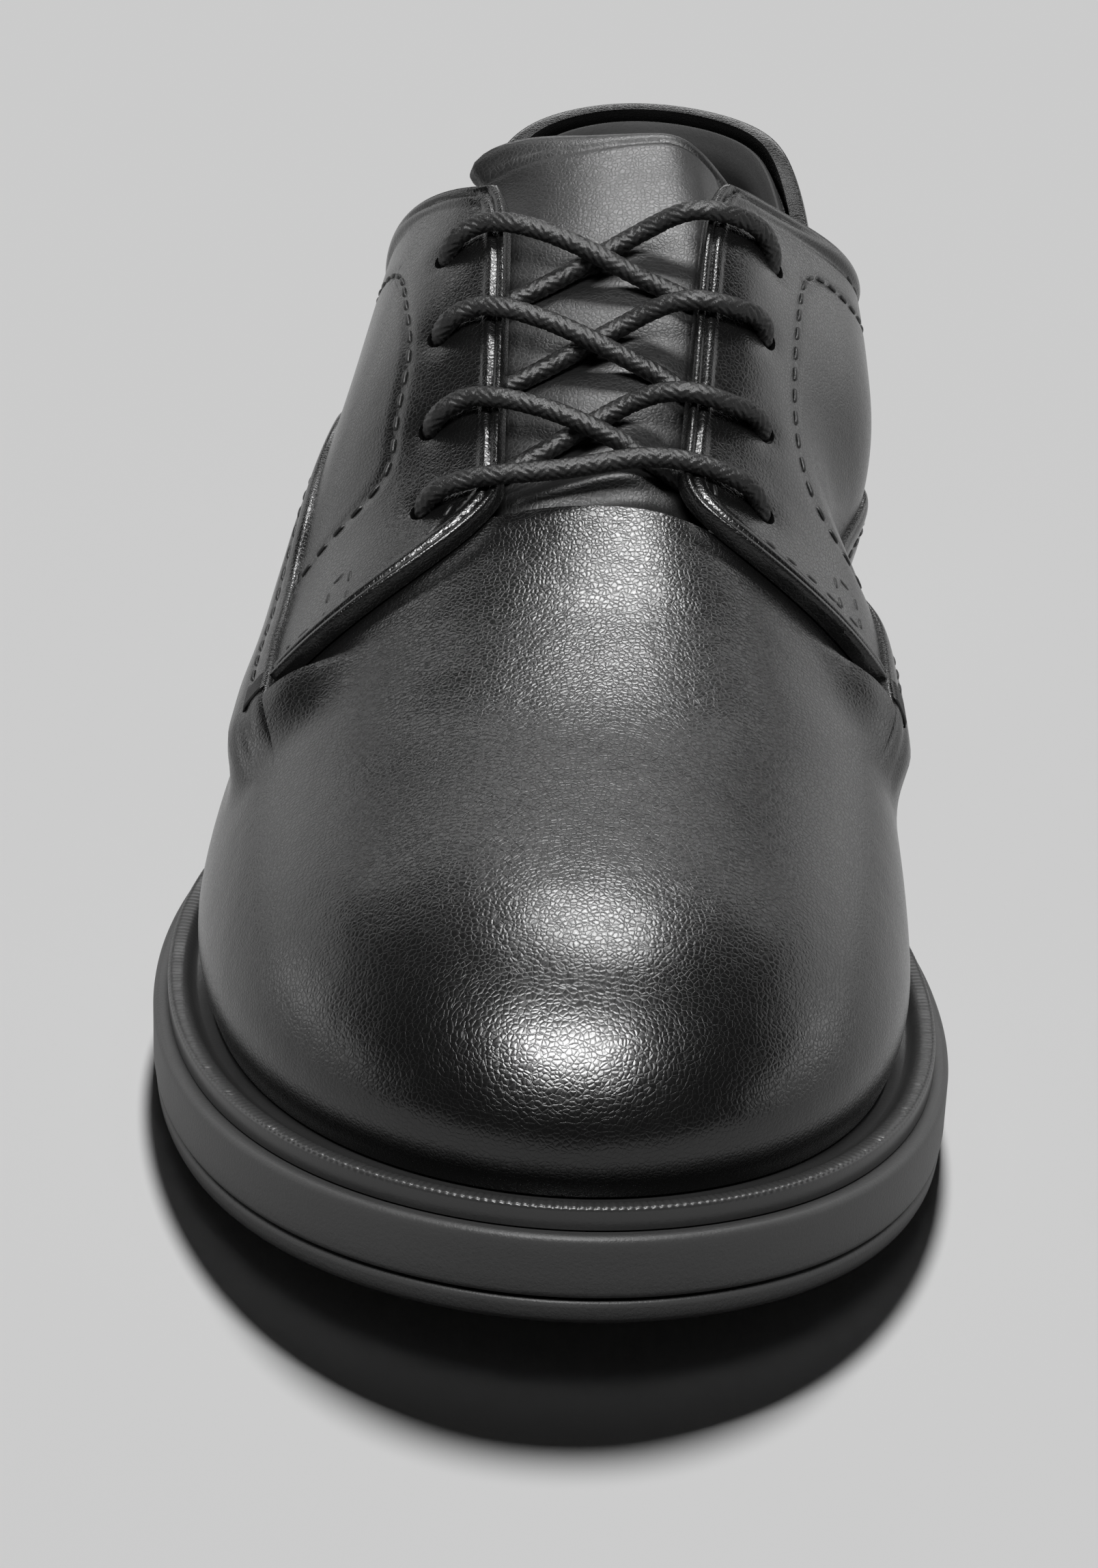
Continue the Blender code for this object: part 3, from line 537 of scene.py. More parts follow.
class ShoeSizes(bpy.types.PropertyGroup):
    """Sizes of the fine work that the solids leave out."""

    stitch: length("Stitch", "Length of one stitch", 0.0030)
    stitch_gap: length("Stitch gap", "Leather between two stitches", 0.0010)
    thread: length("Thread", "Radius of the upper's thread", 0.00040)
    groove: length("Groove", "How deep a seam sinks into the leather", 0.00030)
    grain: length("Grain", "Width of one pebble of the leather's grain", 0.00070)
    grain_depth: length("Grain depth", "How deep the grain is", 0.000032)
    bead: length("Bead", "Height of the folded edges over the leather", 0.00055)
    roll: length("Collar roll", "Height of the rolled topline over the leather", 0.0008)
    dimple: length("Eyelet dimple", "How far the lace pulls each eyelet in", 0.0005)
    braid: length("Braid", "Length of one strand's bed in the lace", 0.0015)
    braid_depth: length("Braid depth", "How far the lace's strands stand out", 0.00036)
    wheel: length("Wheel mark", "Distance between the marks on the welt's rim", 0.0011)
    wheel_depth: length("Wheel depth", "Depth of the marks on the welt's rim", 0.00015)


class ShoeColours(bpy.types.PropertyGroup):
    """Colours of the shoe's materials."""

    leather: colour("Leather", "The polished upper", 0.003)
    tongue: colour("Tongue", "The tongue's leather", 0.004)
    lining: colour("Lining", "The collar's and the footbed's leather", 0.020)
    rubber: colour("Rubber", "The sole and the heel", 0.028)
    welt: colour("Welt", "The wheeled strip round the upper", 0.020)
    cord: colour("Lace", "The waxed lace", 0.006)
    thread: colour("Thread", "The upper's stitches", 0.002)
    floor: colour("Floor", "The plain floor", 0.72)


class Wire:
    """One output of a shader node. Arithmetic on it adds Math nodes."""

    def __init__(self, shader, socket):
        self.shader = shader
        self.socket = socket

    def math(self, operation, *values):
        sockets = dict(enumerate(values))
        return self.shader.node("ShaderNodeMath", {"operation": operation}, sockets)

    def __add__(self, other):
        return self.math("ADD", self, other)

    __radd__ = __add__

    def __sub__(self, other):
        return self.math("SUBTRACT", self, other)

    def __rsub__(self, other):
        return self.math("SUBTRACT", other, self)

    def __mul__(self, other):
        return self.math("MULTIPLY", self, other)

    __rmul__ = __mul__

    def power(self, exponent):
        return self.math("POWER", self, exponent)

    def limit(self, low, high):
        """This value kept between low and high."""
        return self.math("MINIMUM", self.math("MAXIMUM", self, low), high)


def socket_name(word):
    """The name of a Principled socket from its keyword."""
    return word.replace("_", " ").title().replace("Ior", "IOR")


class Shader:
    """A Principled material whose nodes are added one expression at a time."""

    def __init__(self, name, colour, roughness, **uniform):
        self.material = bpy.data.materials.new(name)
        self.material.use_nodes = True
        self.tree = self.material.node_tree
        self.surface = self.tree.nodes["Principled BSDF"]
        self.surface.inputs["Base Color"].default_value = (*colour, 1.0)
        self.surface.inputs["Roughness"].default_value = roughness
        for socket, value in uniform.items():
            self.feed(self.surface.inputs[socket_name(socket)], value)

    def node(self, kind, settings=None, sockets=None, output=0):
        """Adds a node, sets it, feeds its sockets with values or wires, and returns an output."""
        made = self.tree.nodes.new(kind)
        for key, value in (settings or {}).items():
            setattr(made, key, value)
        for key, value in (sockets or {}).items():
            self.feed(made.inputs[key], value)
        return Wire(self, made.outputs[output])

    def feed(self, socket, value):
        if isinstance(value, Wire):
            self.tree.links.new(value.socket, socket)
        else:
            socket.default_value = value

    def place(self):
        """Where a point lies on the shoe, in metres."""
        return self.node("ShaderNodeTexCoord", output="Object")

    def noise(self, size, detail=2.0, roughness=0.5):
        """Soft noise from 0 to 1 whose blotches are about this many metres wide."""
        sockets = {
            "Vector": self.place(),
            "Scale": 1 / size,
            "Detail": detail,
            "Roughness": roughness,
        }
        return self.node("ShaderNodeTexNoise", None, sockets)

    def pebbles(self, size):
        """Raised cells with valleys between them, from 0 in a valley to about 1."""
        warp = self.noise(size * 2.2, 1.0)
        spot = self.node(
            "ShaderNodeVectorMath",
            {"operation": "ADD"},
            {0: self.place(), 1: self.spread(warp, size * 0.8)},
        )
        sockets = {"Vector": spot, "Scale": 1 / size, "Randomness": 0.9}
        edge = self.node("ShaderNodeTexVoronoi", {"feature": "DISTANCE_TO_EDGE"}, sockets)
        return (edge * 3.2).limit(0.0, 1.0).power(0.6)

    def spread(self, wire, amount):
        """A value as a vector of that many metres, the same along each axis."""
        return self.node("ShaderNodeCombineXYZ", None, {key: wire * amount for key in "XYZ"})

    def bump(self, height, depth, below=None):
        """A normal from a height of 0 to 1 that stands for this many metres."""
        sockets = {"Height": height, "Distance": depth, "Strength": 1.0}
        if below is not None:
            sockets["Normal"] = below
        return self.node("ShaderNodeBump", None, sockets)

    def finish(self, **wires):
        for name, wire in wires.items():
            self.feed(self.surface.inputs[socket_name(name)], wire)
        return self.material


def grey_mix(shader, share, low, high):
    """A grey between two linear values, by a share from 0 to 1."""
    sockets = {"Factor": share, 6: (low, low, low, 1.0), 7: (high, high, high, 1.0)}
    return shader.node("ShaderNodeMix", {"data_type": "RGBA"}, sockets, output=2)


def leather(name, colour, roughness, coat, grain, depth):
    """Polished leather with a fine pebble grain over long soft wrinkles."""
    shader = Shader(name, colour, roughness, coat_roughness=0.22, coat_ior=1.45)
    grey = colour[0]
    pebbles = shader.pebbles(grain)
    fine = shader.noise(grain * 0.45, 3.0, 0.6)
    polish = shader.noise(0.028, 3.0, 0.55)
    normal = shader.bump(shader.noise(0.007, 3.0, 0.5), 0.00018)
    normal = shader.bump(pebbles * 0.8 + fine * 0.35, depth, normal)
    return shader.finish(
        base_color=grey_mix(shader, pebbles * 0.6 + polish * 0.4, grey * 0.55, grey * 1.35),
        roughness=roughness - 0.05 + polish * 0.10 + (1 - pebbles) * 0.08,
        coat_weight=(coat * 0.6 + polish * coat * 0.8).limit(0.0, 1.0),
        normal=normal,
    )


def lining_leather(name, colour):
    shader = Shader(name, colour, 0.68)
    grey = colour[0]
    nap = shader.noise(0.0006, 4.0, 0.7)
    worn = shader.noise(0.02, 3.0, 0.6)
    return shader.finish(
        base_color=grey_mix(shader, nap * 0.5 + worn * 0.5, grey * 0.5, grey * 1.5),
        roughness=0.60 + nap * 0.2,
        normal=shader.bump(nap, 0.00008),
    )


def rubber(name, colour, roughness, grain, depth):
    """Moulded rubber with an even, fine texture."""
    shader = Shader(name, colour, roughness)
    grey = colour[0]
    speck = shader.noise(grain, 2.0, 0.7)
    cloud = shader.noise(0.012, 3.0, 0.55)
    return shader.finish(
        base_color=grey_mix(shader, speck * 0.5 + cloud * 0.5, grey * 0.7, grey * 1.3),
        roughness=roughness - 0.08 + speck * 0.10 + cloud * 0.08,
        normal=shader.bump(speck, depth),
    )


def waxed(name, colour):
    """Waxed polyester thread: fine fibres under a broken film of wax."""
    shader = Shader(name, colour, 0.45)
    grey = colour[0]
    fibre = shader.noise(0.00022, 3.0, 0.6)
    film = shader.noise(0.0035, 2.0, 0.5)
    return shader.finish(
        base_color=grey_mix(shader, fibre, grey * 0.5, grey * 1.8),
        roughness=0.27 + fibre * 0.15 + film * 0.12,
        normal=shader.bump(fibre, 0.00006),
    )


def plain_floor(name, colour):
    shader = Shader(name, colour, 0.9, specular_ior_level=0.0)
    grey = colour[0]
    return shader.finish(base_color=grey_mix(shader, shader.noise(0.3), grey * 0.995, grey * 1.005))


MATERIALS = {}


def material(key):
    """The material of this name, made when it is first asked for."""
    if key not in MATERIALS:
        sizes, colours = bpy.context.scene.shoe_sizes, bpy.context.scene.shoe_colours
        tint = tuple(getattr(colours, key))
        grain, depth = sizes.grain, sizes.grain_depth
        makers = {
            "leather": lambda: leather("polished_leather", tint, 0.22, 0.12, grain, depth),
            "tongue": lambda: leather("tongue_leather", tint, 0.36, 0.05, grain, depth * 0.7),
            "lining": lambda: lining_leather("lining_leather", tint),
            "welt": lambda: rubber("welt_rubber", tint, 0.30, 0.0005, 0.00003),
            "rubber": lambda: rubber("sole_rubber", tint, 0.52, 0.0005, 0.00007),
            "cord": lambda: waxed("waxed_lace", tint),
            "thread": lambda: waxed("waxed_thread", tint),
            "floor": lambda: plain_floor("floor_paint", tint),
        }
        MATERIALS[key] = makers[key]()
    return MATERIALS[key]


# How near points are welded, and edges taken away as too short
WELD, DEGENERATE = 2e-6, 1e-7


class Solid:
    """Collects sheets of points and joins them into one closed piece."""

    def __init__(self):
        self.points = []
        self.faces = []
        self.count = 0

    def sheet(self, rows, keep=None):
        """Adds a sheet over a (rows, columns, 3) array, or only the cells to keep."""
        rows = np.asarray(rows, float)
        high, wide = rows.shape[:2]
        i, j = np.mgrid[0 : high - 1, 0 : wide - 1]
        corner = self.count + i * wide + j
        cells = np.stack([corner, corner + 1, corner + wide + 1, corner + wide], -1)
        self.faces.append(cells.reshape(-1, 4) if keep is None else cells[keep])
        self.points.append(rows.reshape(-1, 3))
        self.count += high * wide

    def wall(self, first, second):
        """Adds the strip between two lines of points."""
        self.sheet(np.stack([first, second]))

    def build(self, name, finish, slot, nodes=(), sharp=40):
        """Welds the sheets and adds them as a piece, with edges sharper than this many degrees kept."""
        faces = np.concatenate(self.faces).tolist()
        mesh = new_mesh(name, np.concatenate(self.points), faces)
        shape = bmesh.new()
        shape.from_mesh(mesh)
        bmesh.ops.remove_doubles(shape, verts=shape.verts, dist=WELD)
        bmesh.ops.dissolve_degenerate(shape, edges=shape.edges, dist=DEGENERATE)
        bmesh.ops.recalc_face_normals(shape, faces=shape.faces)
        shape.to_mesh(mesh)
        shape.free()
        mesh.shade_smooth()
        mesh.set_sharp_from_angle(angle=math.radians(sharp))
        return add_piece(mesh, finish, nodes)


def new_mesh(name, points, faces):
    mesh = bpy.data.meshes.new(name)
    mesh.from_pydata(points.tolist(), [], faces)
    mesh.shade_smooth()
    return mesh


def add_object(name, data):
    item = bpy.data.objects.new(name, data)
    bpy.context.scene.collection.objects.link(item)
    return item


def add_piece(mesh, finish, nodes=()):
    """A piece of the shoe, riding on its one body, in place of the nodes that it dresses."""
    item = add_object(mesh.name, mesh)
    mesh.materials.append(material(finish))
    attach(item, "root")
    if nodes:
        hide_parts(*nodes)
    return item


def closed_shell(outer, inner):
    """Two faces joined all round their edges."""
    solid = Solid()
    solid.sheet(outer)
    solid.sheet(inner)
    for edge in (np.s_[:, 0], np.s_[:, -1], np.s_[0, :], np.s_[-1, :]):
        solid.wall(outer[edge], inner[edge])
    return solid


def open_shell(outer, inner, throat, slot):
    """Two faces joined round the sole's opening and round the slot from the heel to the throat."""
    high, wide = outer.shape[:2]
    last = wide - 1 - slot
    keep = np.ones((high - 1, wide - 1), bool)
    keep[:throat, slot:last] = False
    solid = Solid()
    for face in (outer, inner):
        solid.sheet(face, keep)
    for edge in (0, wide - 1):
        solid.wall(outer[:, edge], inner[:, edge])
    for edge in (slot, last):
        solid.wall(outer[: throat + 1, edge], inner[: throat + 1, edge])
    solid.wall(outer[throat, slot : last + 1], inner[throat, slot : last + 1])
    return solid


def spread_turns(stops):
    """Turns from heel to toe, so many between each pair of stops along the shoe."""
    turns = []
    for (start, steps), (end, _) in zip(stops, stops[1:]):
        turns.extend(np.linspace(turn_of(start), turn_of(end), steps, endpoint=False))
    return np.array(turns + [turn_of(stops[-1][0])])


def joined_halves(lateral, medial):
    """Both halves as one grid, welded on the crest, at the back seam and at the toe."""
    back = (lateral[0] + medial[0]) / 2
    crest = (lateral[:, -1] + medial[:, -1]) / 2
    tip = (lateral[-1].mean(axis=0) + medial[-1].mean(axis=0)) / 2
    for half in (lateral, medial):
        half[0] = back
        half[:, -1] = crest
        half[-1] = tip
    return np.concatenate([lateral, medial[:, -2::-1]], axis=1)


def creases(points):
    """How far the listed creases sink in at these points of the last."""
    sunk = np.zeros(points.shape[:-1])
    for along, across, length, width, depth in CREASES:
        x = (points[..., 0] - across * SOLE_WIDTH) / length
        y = (points[..., 1] - (0.5 - along) * SOLE_LENGTH) / width
        sunk += depth * np.exp(-(x**2) - y**2)
    return sunk


# The vamp's wing covers the quarter at the side: where its rows lie below its edge, and how much of
# the wing's own wall stands there. A seam runs at WING_SEAM below the edge.
WING_EDGE = (
    # below the edge, share of the wall
    (0.0042, 1.00),
    (0.0037, 1.00),
    (0.0033, 1.00),
    (0.0029, 1.00),
    (0.0026, 1.00),
    (0.0023, 1.00),
    (0.0019, 1.00),
    (0.0015, 1.00),
    (0.0011, 1.00),
    (0.0008, 0.97),
    (0.0005, 0.88),
    (0.0003, 0.76),
    (0.00015, 0.60),
    (0.00005, 0.42),
    (0.0000, 0.25),
)
WING_SEAM = 0.0026
# The wing's upper edge as a rise on the last, where it lies higher than the quarter's lower edge
WING_TOP = {
    LATERAL: (
        (0.30, 0.100),
        (0.36, 0.180),
        (0.42, 0.330),
        (0.48, 0.440),
        (0.53, 0.487),
        (0.559, 0.482),
        (0.576, 0.462),
        (0.589, 0.442),
        (0.605, 0.428),
        (0.626, 0.427),
        (0.651, 0.441),
        (0.675, 0.458),
        (0.691, 0.461),
        (0.730, 0.461),
        (0.850, 0.461),
        (1.000, 0.461),
    ),
    MEDIAL: (
        (0.30, 0.100),
        (0.36, 0.160),
        (0.42, 0.280),
        (0.48, 0.360),
        (0.53, 0.385),
        (0.58, 0.390),
        (0.624, 0.398),
        (0.652, 0.411),
        (0.668, 0.407),
        (0.720, 0.407),
        (0.850, 0.407),
        (1.000, 0.407),
    ),
}
wing_top = {side: table_curve(rows, 1) for side, rows in WING_TOP.items()}

# The wing's lift below its edge band, how far down it reaches that lift, and how deep the quarter
# goes in under the edge. Ahead of the flap the edge eases out over WING_EASE.
WING_BODY = 0.0015
WING_DRAPE = 0.11
WING_TUCK = 0.0042
WING_EASE = 0.22
WING_STEP = 0.00004
# How far the flap's front seam lies inside its edge, how far the vamp's slot reaches past the eyelets,
# and how far below the topline it stops
FRONT_SEAM = 0.0046
THROAT_MARGIN = 0.008
COLLAR_SETBACK = 0.0035


def wing_corner(side):
    """Where along the shoe the wing meets the flap's corner."""
    return FLAP_FRONT[side][0] - WING_LAP


def wing_share(along, side):
    """How much of the wing there is along the shoe: none at the heel and ahead of the flap's corner."""
    grown = smooth_step((along - WING_REAR) / WING_GROWTH)
    return grown * (1 - smooth_step((along - wing_corner(side)) / WING_END))


def wing_rise(along, side):
    """The wing's upper edge, which covers the quarter's lower edge and meets the flap's corner."""
    return np.maximum(low_rise(along), wing_top[side](along))


def slot_rise(along, side, setback=0.0):
    """The top edge of what lies under the quarters: below the topline, and clear of the eyelets."""
    half = EYELET_SPREAD / 2 + THROAT_MARGIN
    line = facing_rise(along, 2 * half, side)
    return line - setback / np.maximum(crest_height(along), 0.02)


def wing_band(along, side, sizes):
    """The wing's edge band: rises and lifts of the rows there."""
    edge = wing_rise(along, side)
    deepest = WING_EDGE[0][0]
    depth = np.minimum(climb(deepest, along), 0.6 * edge)
    rises, lifts = [], []
    for below, share in WING_EDGE:
        rises.append(edge - depth * below / deepest)
        seam = sizes.groove * 1.2 * bell(below, WING_SEAM, 0.0005)
        lifts.append(QUARTER_FACE + WING_WALL * share - seam)
    return np.stack(rises, 1), np.stack([np.full(len(along), lift) for lift in lifts], 1), depth


VAMP_STATIONS = (
    # along, steps
    (0.000, 36),
    (0.330, 14),
    (0.400, 26),
    (0.560, 18),
    (0.643, 130),
    (1.000, 0),
)
VAMP_LOW, VAMP_MID, VAMP_TOP = 18, 26, 16


def vamp_rows(alongs, side, sizes):
    """The rises and lifts of the vamp's rows, from the feather line to the crest."""
    edge = wing_rise(alongs, side)
    band_rise, band_lift, depth = wing_band(alongs, side, sizes)
    low = (edge - depth)[:, None] * np.linspace(0, 1, VAMP_LOW, endpoint=False)
    share = wing_share(alongs, side)[:, None]
    full = QUARTER_FACE + WING_WALL
    under = 1 - smooth_step((low_rise(alongs)[:, None] - low) / WING_FADE)
    drape = smooth_step(1 - ((edge - depth)[:, None] - low) / WING_DRAPE)
    body = np.minimum(WING_BODY, full)
    low_lift = (body * under + (full - body) * drape) * smooth_step(low / HEM_FADE)
    clear = smooth_step(band_rise / HEM_FADE)
    opening = np.maximum(slot_rise(alongs, side, COLLAR_SETBACK), edge + 0.02)
    opening = np.minimum(opening, 0.97)
    start = edge + climb(WING_STEP, alongs)
    mid = start[:, None] + (opening - start)[:, None] * np.linspace(0, 1, VAMP_MID + 1)
    top = opening[:, None] + (1 - opening)[:, None] * np.linspace(0, 1, VAMP_TOP + 1)[1:]
    rises = np.concatenate([low, band_rise, mid, top], axis=1)
    upper = np.concatenate([mid, top], axis=1)
    ahead = smooth_step((alongs - wing_corner(side)) / 0.012)[:, None]
    eased = full * share * ahead * (1 - smooth_step((upper - edge[:, None]) / WING_EASE))
    lifts = np.concatenate([low_lift * share, band_lift * clear * share, eased], axis=1)
    return rises, lifts, low.shape[1] + band_rise.shape[1] + VAMP_MID


def make_vamp(sizes):
    """Vamp, wings and the leather under the quarters: one wall, open at collar, throat and sole."""
    turns = spread_turns(VAMP_STATIONS)
    alongs = along_of(turns)
    throat = int(np.argmin(np.abs(alongs - THROAT)))
    faces = []
    for wall in (0.0, LEATHER):
        halves = []
        for side in (LATERAL, MEDIAL):
            rises, lifts, slot = vamp_rows(alongs, side, sizes)
            base = skin_base(turns[:, None], rises, side)
            inner_lift = np.minimum(lifts, 0.0) if wall else lifts
            lift = inner_lift - wall - creases(base)
            halves.append(skin(turns[:, None], rises, side, lift))
        faces.append(joined_halves(*halves))
    return open_shell(*faces, throat, slot).build("vamp", "leather", "black_leather", ["upper"])


LINING_STATIONS = (
    # along, steps
    (0.000, 44),
    (0.400, 30),
    (0.643, 60),
    (1.000, 0),
)
# The lining's rows near its top edge: how far below it they lie, and their share of its thickness
LINING_ROLL = (
    # below the edge, share of the thickness
    (0.0090, 1.00),
    (0.0060, 1.00),
    (0.0040, 0.98),
    (0.0026, 0.93),
    (0.0015, 0.80),
    (0.0008, 0.62),
    (0.0003, 0.40),
    (0.0000, 0.12),
)
LINING_ROWS, LINING_TOP = 26, 12
LINING_SINK = 0.0012
# The lining's distance from the leather, how far it moves outwards at the collar's edge,
# how far down the collar's padding reaches, and where along the shoe it ends and over which length
LINING_GAP = 0.0001
LINING_OVER = LEATHER + 0.0003
PAD_DEPTH = 0.030
PAD_END, PAD_FADE = 0.44, 0.10


def make_lining():
    """The lining, thickened to a padded roll inside the collar."""
    turns = spread_turns(LINING_STATIONS)
    alongs = along_of(turns)
    throat = int(np.argmin(np.abs(alongs - THROAT)))
    faces = {True: [], False: []}
    for side in (LATERAL, MEDIAL):
        opening = np.minimum(slot_rise(alongs, side, LINING_SINK), 0.97)
        height = np.maximum(crest_height(alongs), 0.02)
        depth = np.minimum(LINING_ROLL[0][0] / height, 0.7 * opening)
        low = (opening - depth)[:, None] * np.linspace(0, 1, LINING_ROWS, endpoint=False)
        roll = np.stack([opening - depth * row[0] / LINING_ROLL[0][0] for row in LINING_ROLL], 1)
        top = opening[:, None] + (1 - opening)[:, None] * np.linspace(0, 1, LINING_TOP + 1)[1:]
        rises = np.concatenate([low, roll, top], axis=1)
        slot = low.shape[1] + roll.shape[1] - 1
        collar = smooth_step((PAD_END - alongs) / PAD_FADE)[:, None]
        share = np.ones(rises.shape)
        share[:, low.shape[1] : slot + 1] = [row[1] for row in LINING_ROLL]
        below = np.clip((opening[:, None] - rises) * height[:, None] / PAD_DEPTH, 0, 1)
        pad = COLLAR_PAD * collar * (1 - smooth_step(below)) * (rises <= opening[:, None] + 1e-9)
        thick = (UPPER_WALL - LEATHER - LINING_GAP) + pad
        rolled = LINING_OVER * collar * (1 - smooth_step(below * 8))
        middle = -LEATHER - LINING_GAP + rolled - thick / 2
        for is_outer, sign in ((True, 1), (False, -1)):
            lift = middle + sign * thick / 2 * share
            faces[is_outer].append(skin(turns[:, None], rises, side, lift))
    outer, inner = joined_halves(*faces[True]), joined_halves(*faces[False])
    return open_shell(outer, inner, throat, slot).build("lining", "lining", "lining", ["upper"])


QUARTER_STATIONS = (
    # along, steps
    (0.000, 50),
    (0.360, 26),
    (0.440, 66),
)
FRONT_STEPS = 56
# Rows of the quarter near its edges, as distances from them
LOW_EDGE = (0.0, 0.0001, 0.0003, 0.0006, 0.0010, 0.0015, 0.0020, 0.0026)
HIGH_EDGE = (
    0.0050,
    0.0045,
    0.0041,
    0.0037,
    0.0033,
    0.0030,
    0.0027,
    0.0024,
    0.0021,
    0.0018,
    0.0016,
    0.0014,
    0.0011,
    0.0008,
    0.0005,
    0.0003,
    0.00015,
    0.0,
)
QUARTER_BODY = 64
# How far the quarter's lower edge lies over the wing's
QUARTER_STEP = 0.0012
# The quarters run this far past the middle of the heel into each other, as a turn
BACK_SEAM = -0.004


def quarter_edges(side):
    """The quarter's stations, and the rises of its lower and upper edge, closing round in front."""
    tip, length, share, square = FLAP_FRONT[side]
    span = tip - length
    closing = span + length * np.sin(np.linspace(0, math.pi / 2, FRONT_STEPS + 1))
    alongs = along_of(spread_turns((*QUARTER_STATIONS, (span, 0))))[:-1]
    alongs = np.concatenate([alongs, closing])
    low = low_rise(alongs) + climb(QUARTER_STEP, alongs)
    high = facing_rise(alongs, facing_gap(alongs), side)
    part = np.clip((alongs - span) / length, 0, 1)
    open_share = np.maximum((1 - part**square) ** (1 / square), 0.004)
    front = low + (high - low) * share
    pull = smooth_step(part)
    front = front * (1 - pull) + front[-1] * pull
    lower = front - (front - low) * open_share
    tucked = wing_rise(alongs, side) - climb(WING_TUCK, alongs)
    covered = wing_share(alongs, side) > 0.98
    lower = np.where(covered, np.maximum(lower, np.minimum(tucked, front)), lower)
    return alongs, lower, front + (high - front) * open_share


def quarter_rows(alongs, low, high):
    """Rises of the quarter's rows, close together at its lower and upper edge."""
    room = 0.45 * (high - low)
    foot = np.minimum(climb(LOW_EDGE[-1], alongs), room)
    head = np.minimum(climb(HIGH_EDGE[0], alongs), room)
    near_low = low[:, None] + foot[:, None] * np.array(LOW_EDGE) / LOW_EDGE[-1]
    near_high = high[:, None] - head[:, None] * np.array(HIGH_EDGE) / HIGH_EDGE[0]
    start, end = near_low[:, -1:], near_high[:, :1]
    body = start + (end - start) * np.linspace(0, 1, QUARTER_BODY + 1)[1:-1]
    return np.concatenate([near_low, body, near_high], axis=1)


def nearest(points, lines):
    """Distance from each point to the nearest point of the lines."""
    tree = KDTree(len(lines))
    for index, spot in enumerate(lines):
        tree.insert(spot, index)
    tree.balance()
    flat = points.reshape(-1, 3)
    return np.array([tree.find(spot)[2] for spot in flat]).reshape(points.shape[:-1])


def arch(distance, centre, half):
    """A round-topped ridge of height 1."""
    return np.clip(1 - ((distance - centre) / half) ** 2, 0, 1) ** 0.6


# Beads, rolls and grooves beside the quarter's edge and along its seam: distance and half width
FIRST_BEAD = (0.0008, 0.0009)
SECOND_BEAD = (0.0026, 0.0010)
BEAD_GROOVE = (0.0017, 0.0003)
COLLAR_ROLL = (0.0016, 0.0017)
ROLL_GROOVE = (0.0039, 0.0005)
EDGE_DROP = (0.0, 0.00022)
SEAM_GROOVE = (0.0, 0.0009)
EYELET_DIMPLE = (0.0, 0.0030)


def edge_relief(distance, alongs, sizes):
    """The folded double bead of facing, nose and front edge, which turns into the collar's roll."""
    collar = 1 - smooth_step((alongs - 0.40) / 0.06)
    folded = sizes.bead * (arch(distance, *FIRST_BEAD) + 0.75 * arch(distance, *SECOND_BEAD))
    folded = folded - 0.4 * sizes.bead * bell(distance, *BEAD_GROOVE)
    rolled = sizes.roll * arch(distance, *COLLAR_ROLL) - sizes.groove * bell(distance, *ROLL_GROOVE)
    edge = -0.0006 * bell(distance, *EDGE_DROP)
    return folded * (1 - collar) + rolled * collar + edge


def smooth_line(rows, count):
    """A smooth run through table rows of (along, height) by their index."""
    spots = np.arange(len(rows))
    fine = np.linspace(0, len(rows) - 1, count)
    return smooth_curve(spots, column(rows, 0))(fine), smooth_curve(spots, column(rows, 1))(fine)


def on_quarter(along, height, side):
    return skin(turn_of(along), rise_at_height(along, height), side, QUARTER_FACE)


def eyelet_place(along, side, lift=QUARTER_FACE):
    return over_crest(along, side * EYELET_SPREAD / 2, lift)


def make_quarter(name, side, sizes):
    """An eyelet quarter with its folded edges, rolled topline, seams and punched eyelets."""
    alongs, low, high = quarter_edges(side)
    rises = quarter_rows(alongs, low, high)
    turns = turn_of(alongs)
    turns[0] = BACK_SEAM
    turns = np.broadcast_to(turns[:, None], rises.shape)
    face = skin(turns, rises, side, QUARTER_FACE)
    front = alongs > FLAP_FRONT[side][0] - FLAP_FRONT[side][1] * 0.7
    border = np.concatenate([face[:, -1], face[front, 0], face[-1]])
    relief = edge_relief(nearest(face, dense_line(border)), along_of(turns), sizes)
    line = on_quarter(*smooth_line(QUARTER_SEAM[side], 500), side)
    relief -= sizes.groove * bell(nearest(face, line), *SEAM_GROOVE)
    eyes = np.array([eyelet_place(along, side) for along in EYELET_ROWS])
    relief -= sizes.dimple * bell(nearest(face, eyes), *EYELET_DIMPLE)
    outer = skin(turns, rises, side, QUARTER_FACE + relief)
    inner = skin(turns, rises, side, QUARTER_SEAT)
    node = name.replace("_leather", "")
    piece = closed_shell(outer, inner).build(name, "leather", "black_leather", [node])
    punch_eyelets(piece, side)
    return piece


def dense_line(points):
    """Points every quarter of a millimetre or closer, wherever neighbours are near each other."""
    runs = [points]
    steps = np.linalg.norm(np.diff(points, axis=0), axis=1)
    near = np.nonzero(steps < 0.006)[0]
    for share in np.linspace(0, 1, 9)[1:-1]:
        runs.append(points[near] + (points[near + 1] - points[near]) * share)
    return np.concatenate(runs)


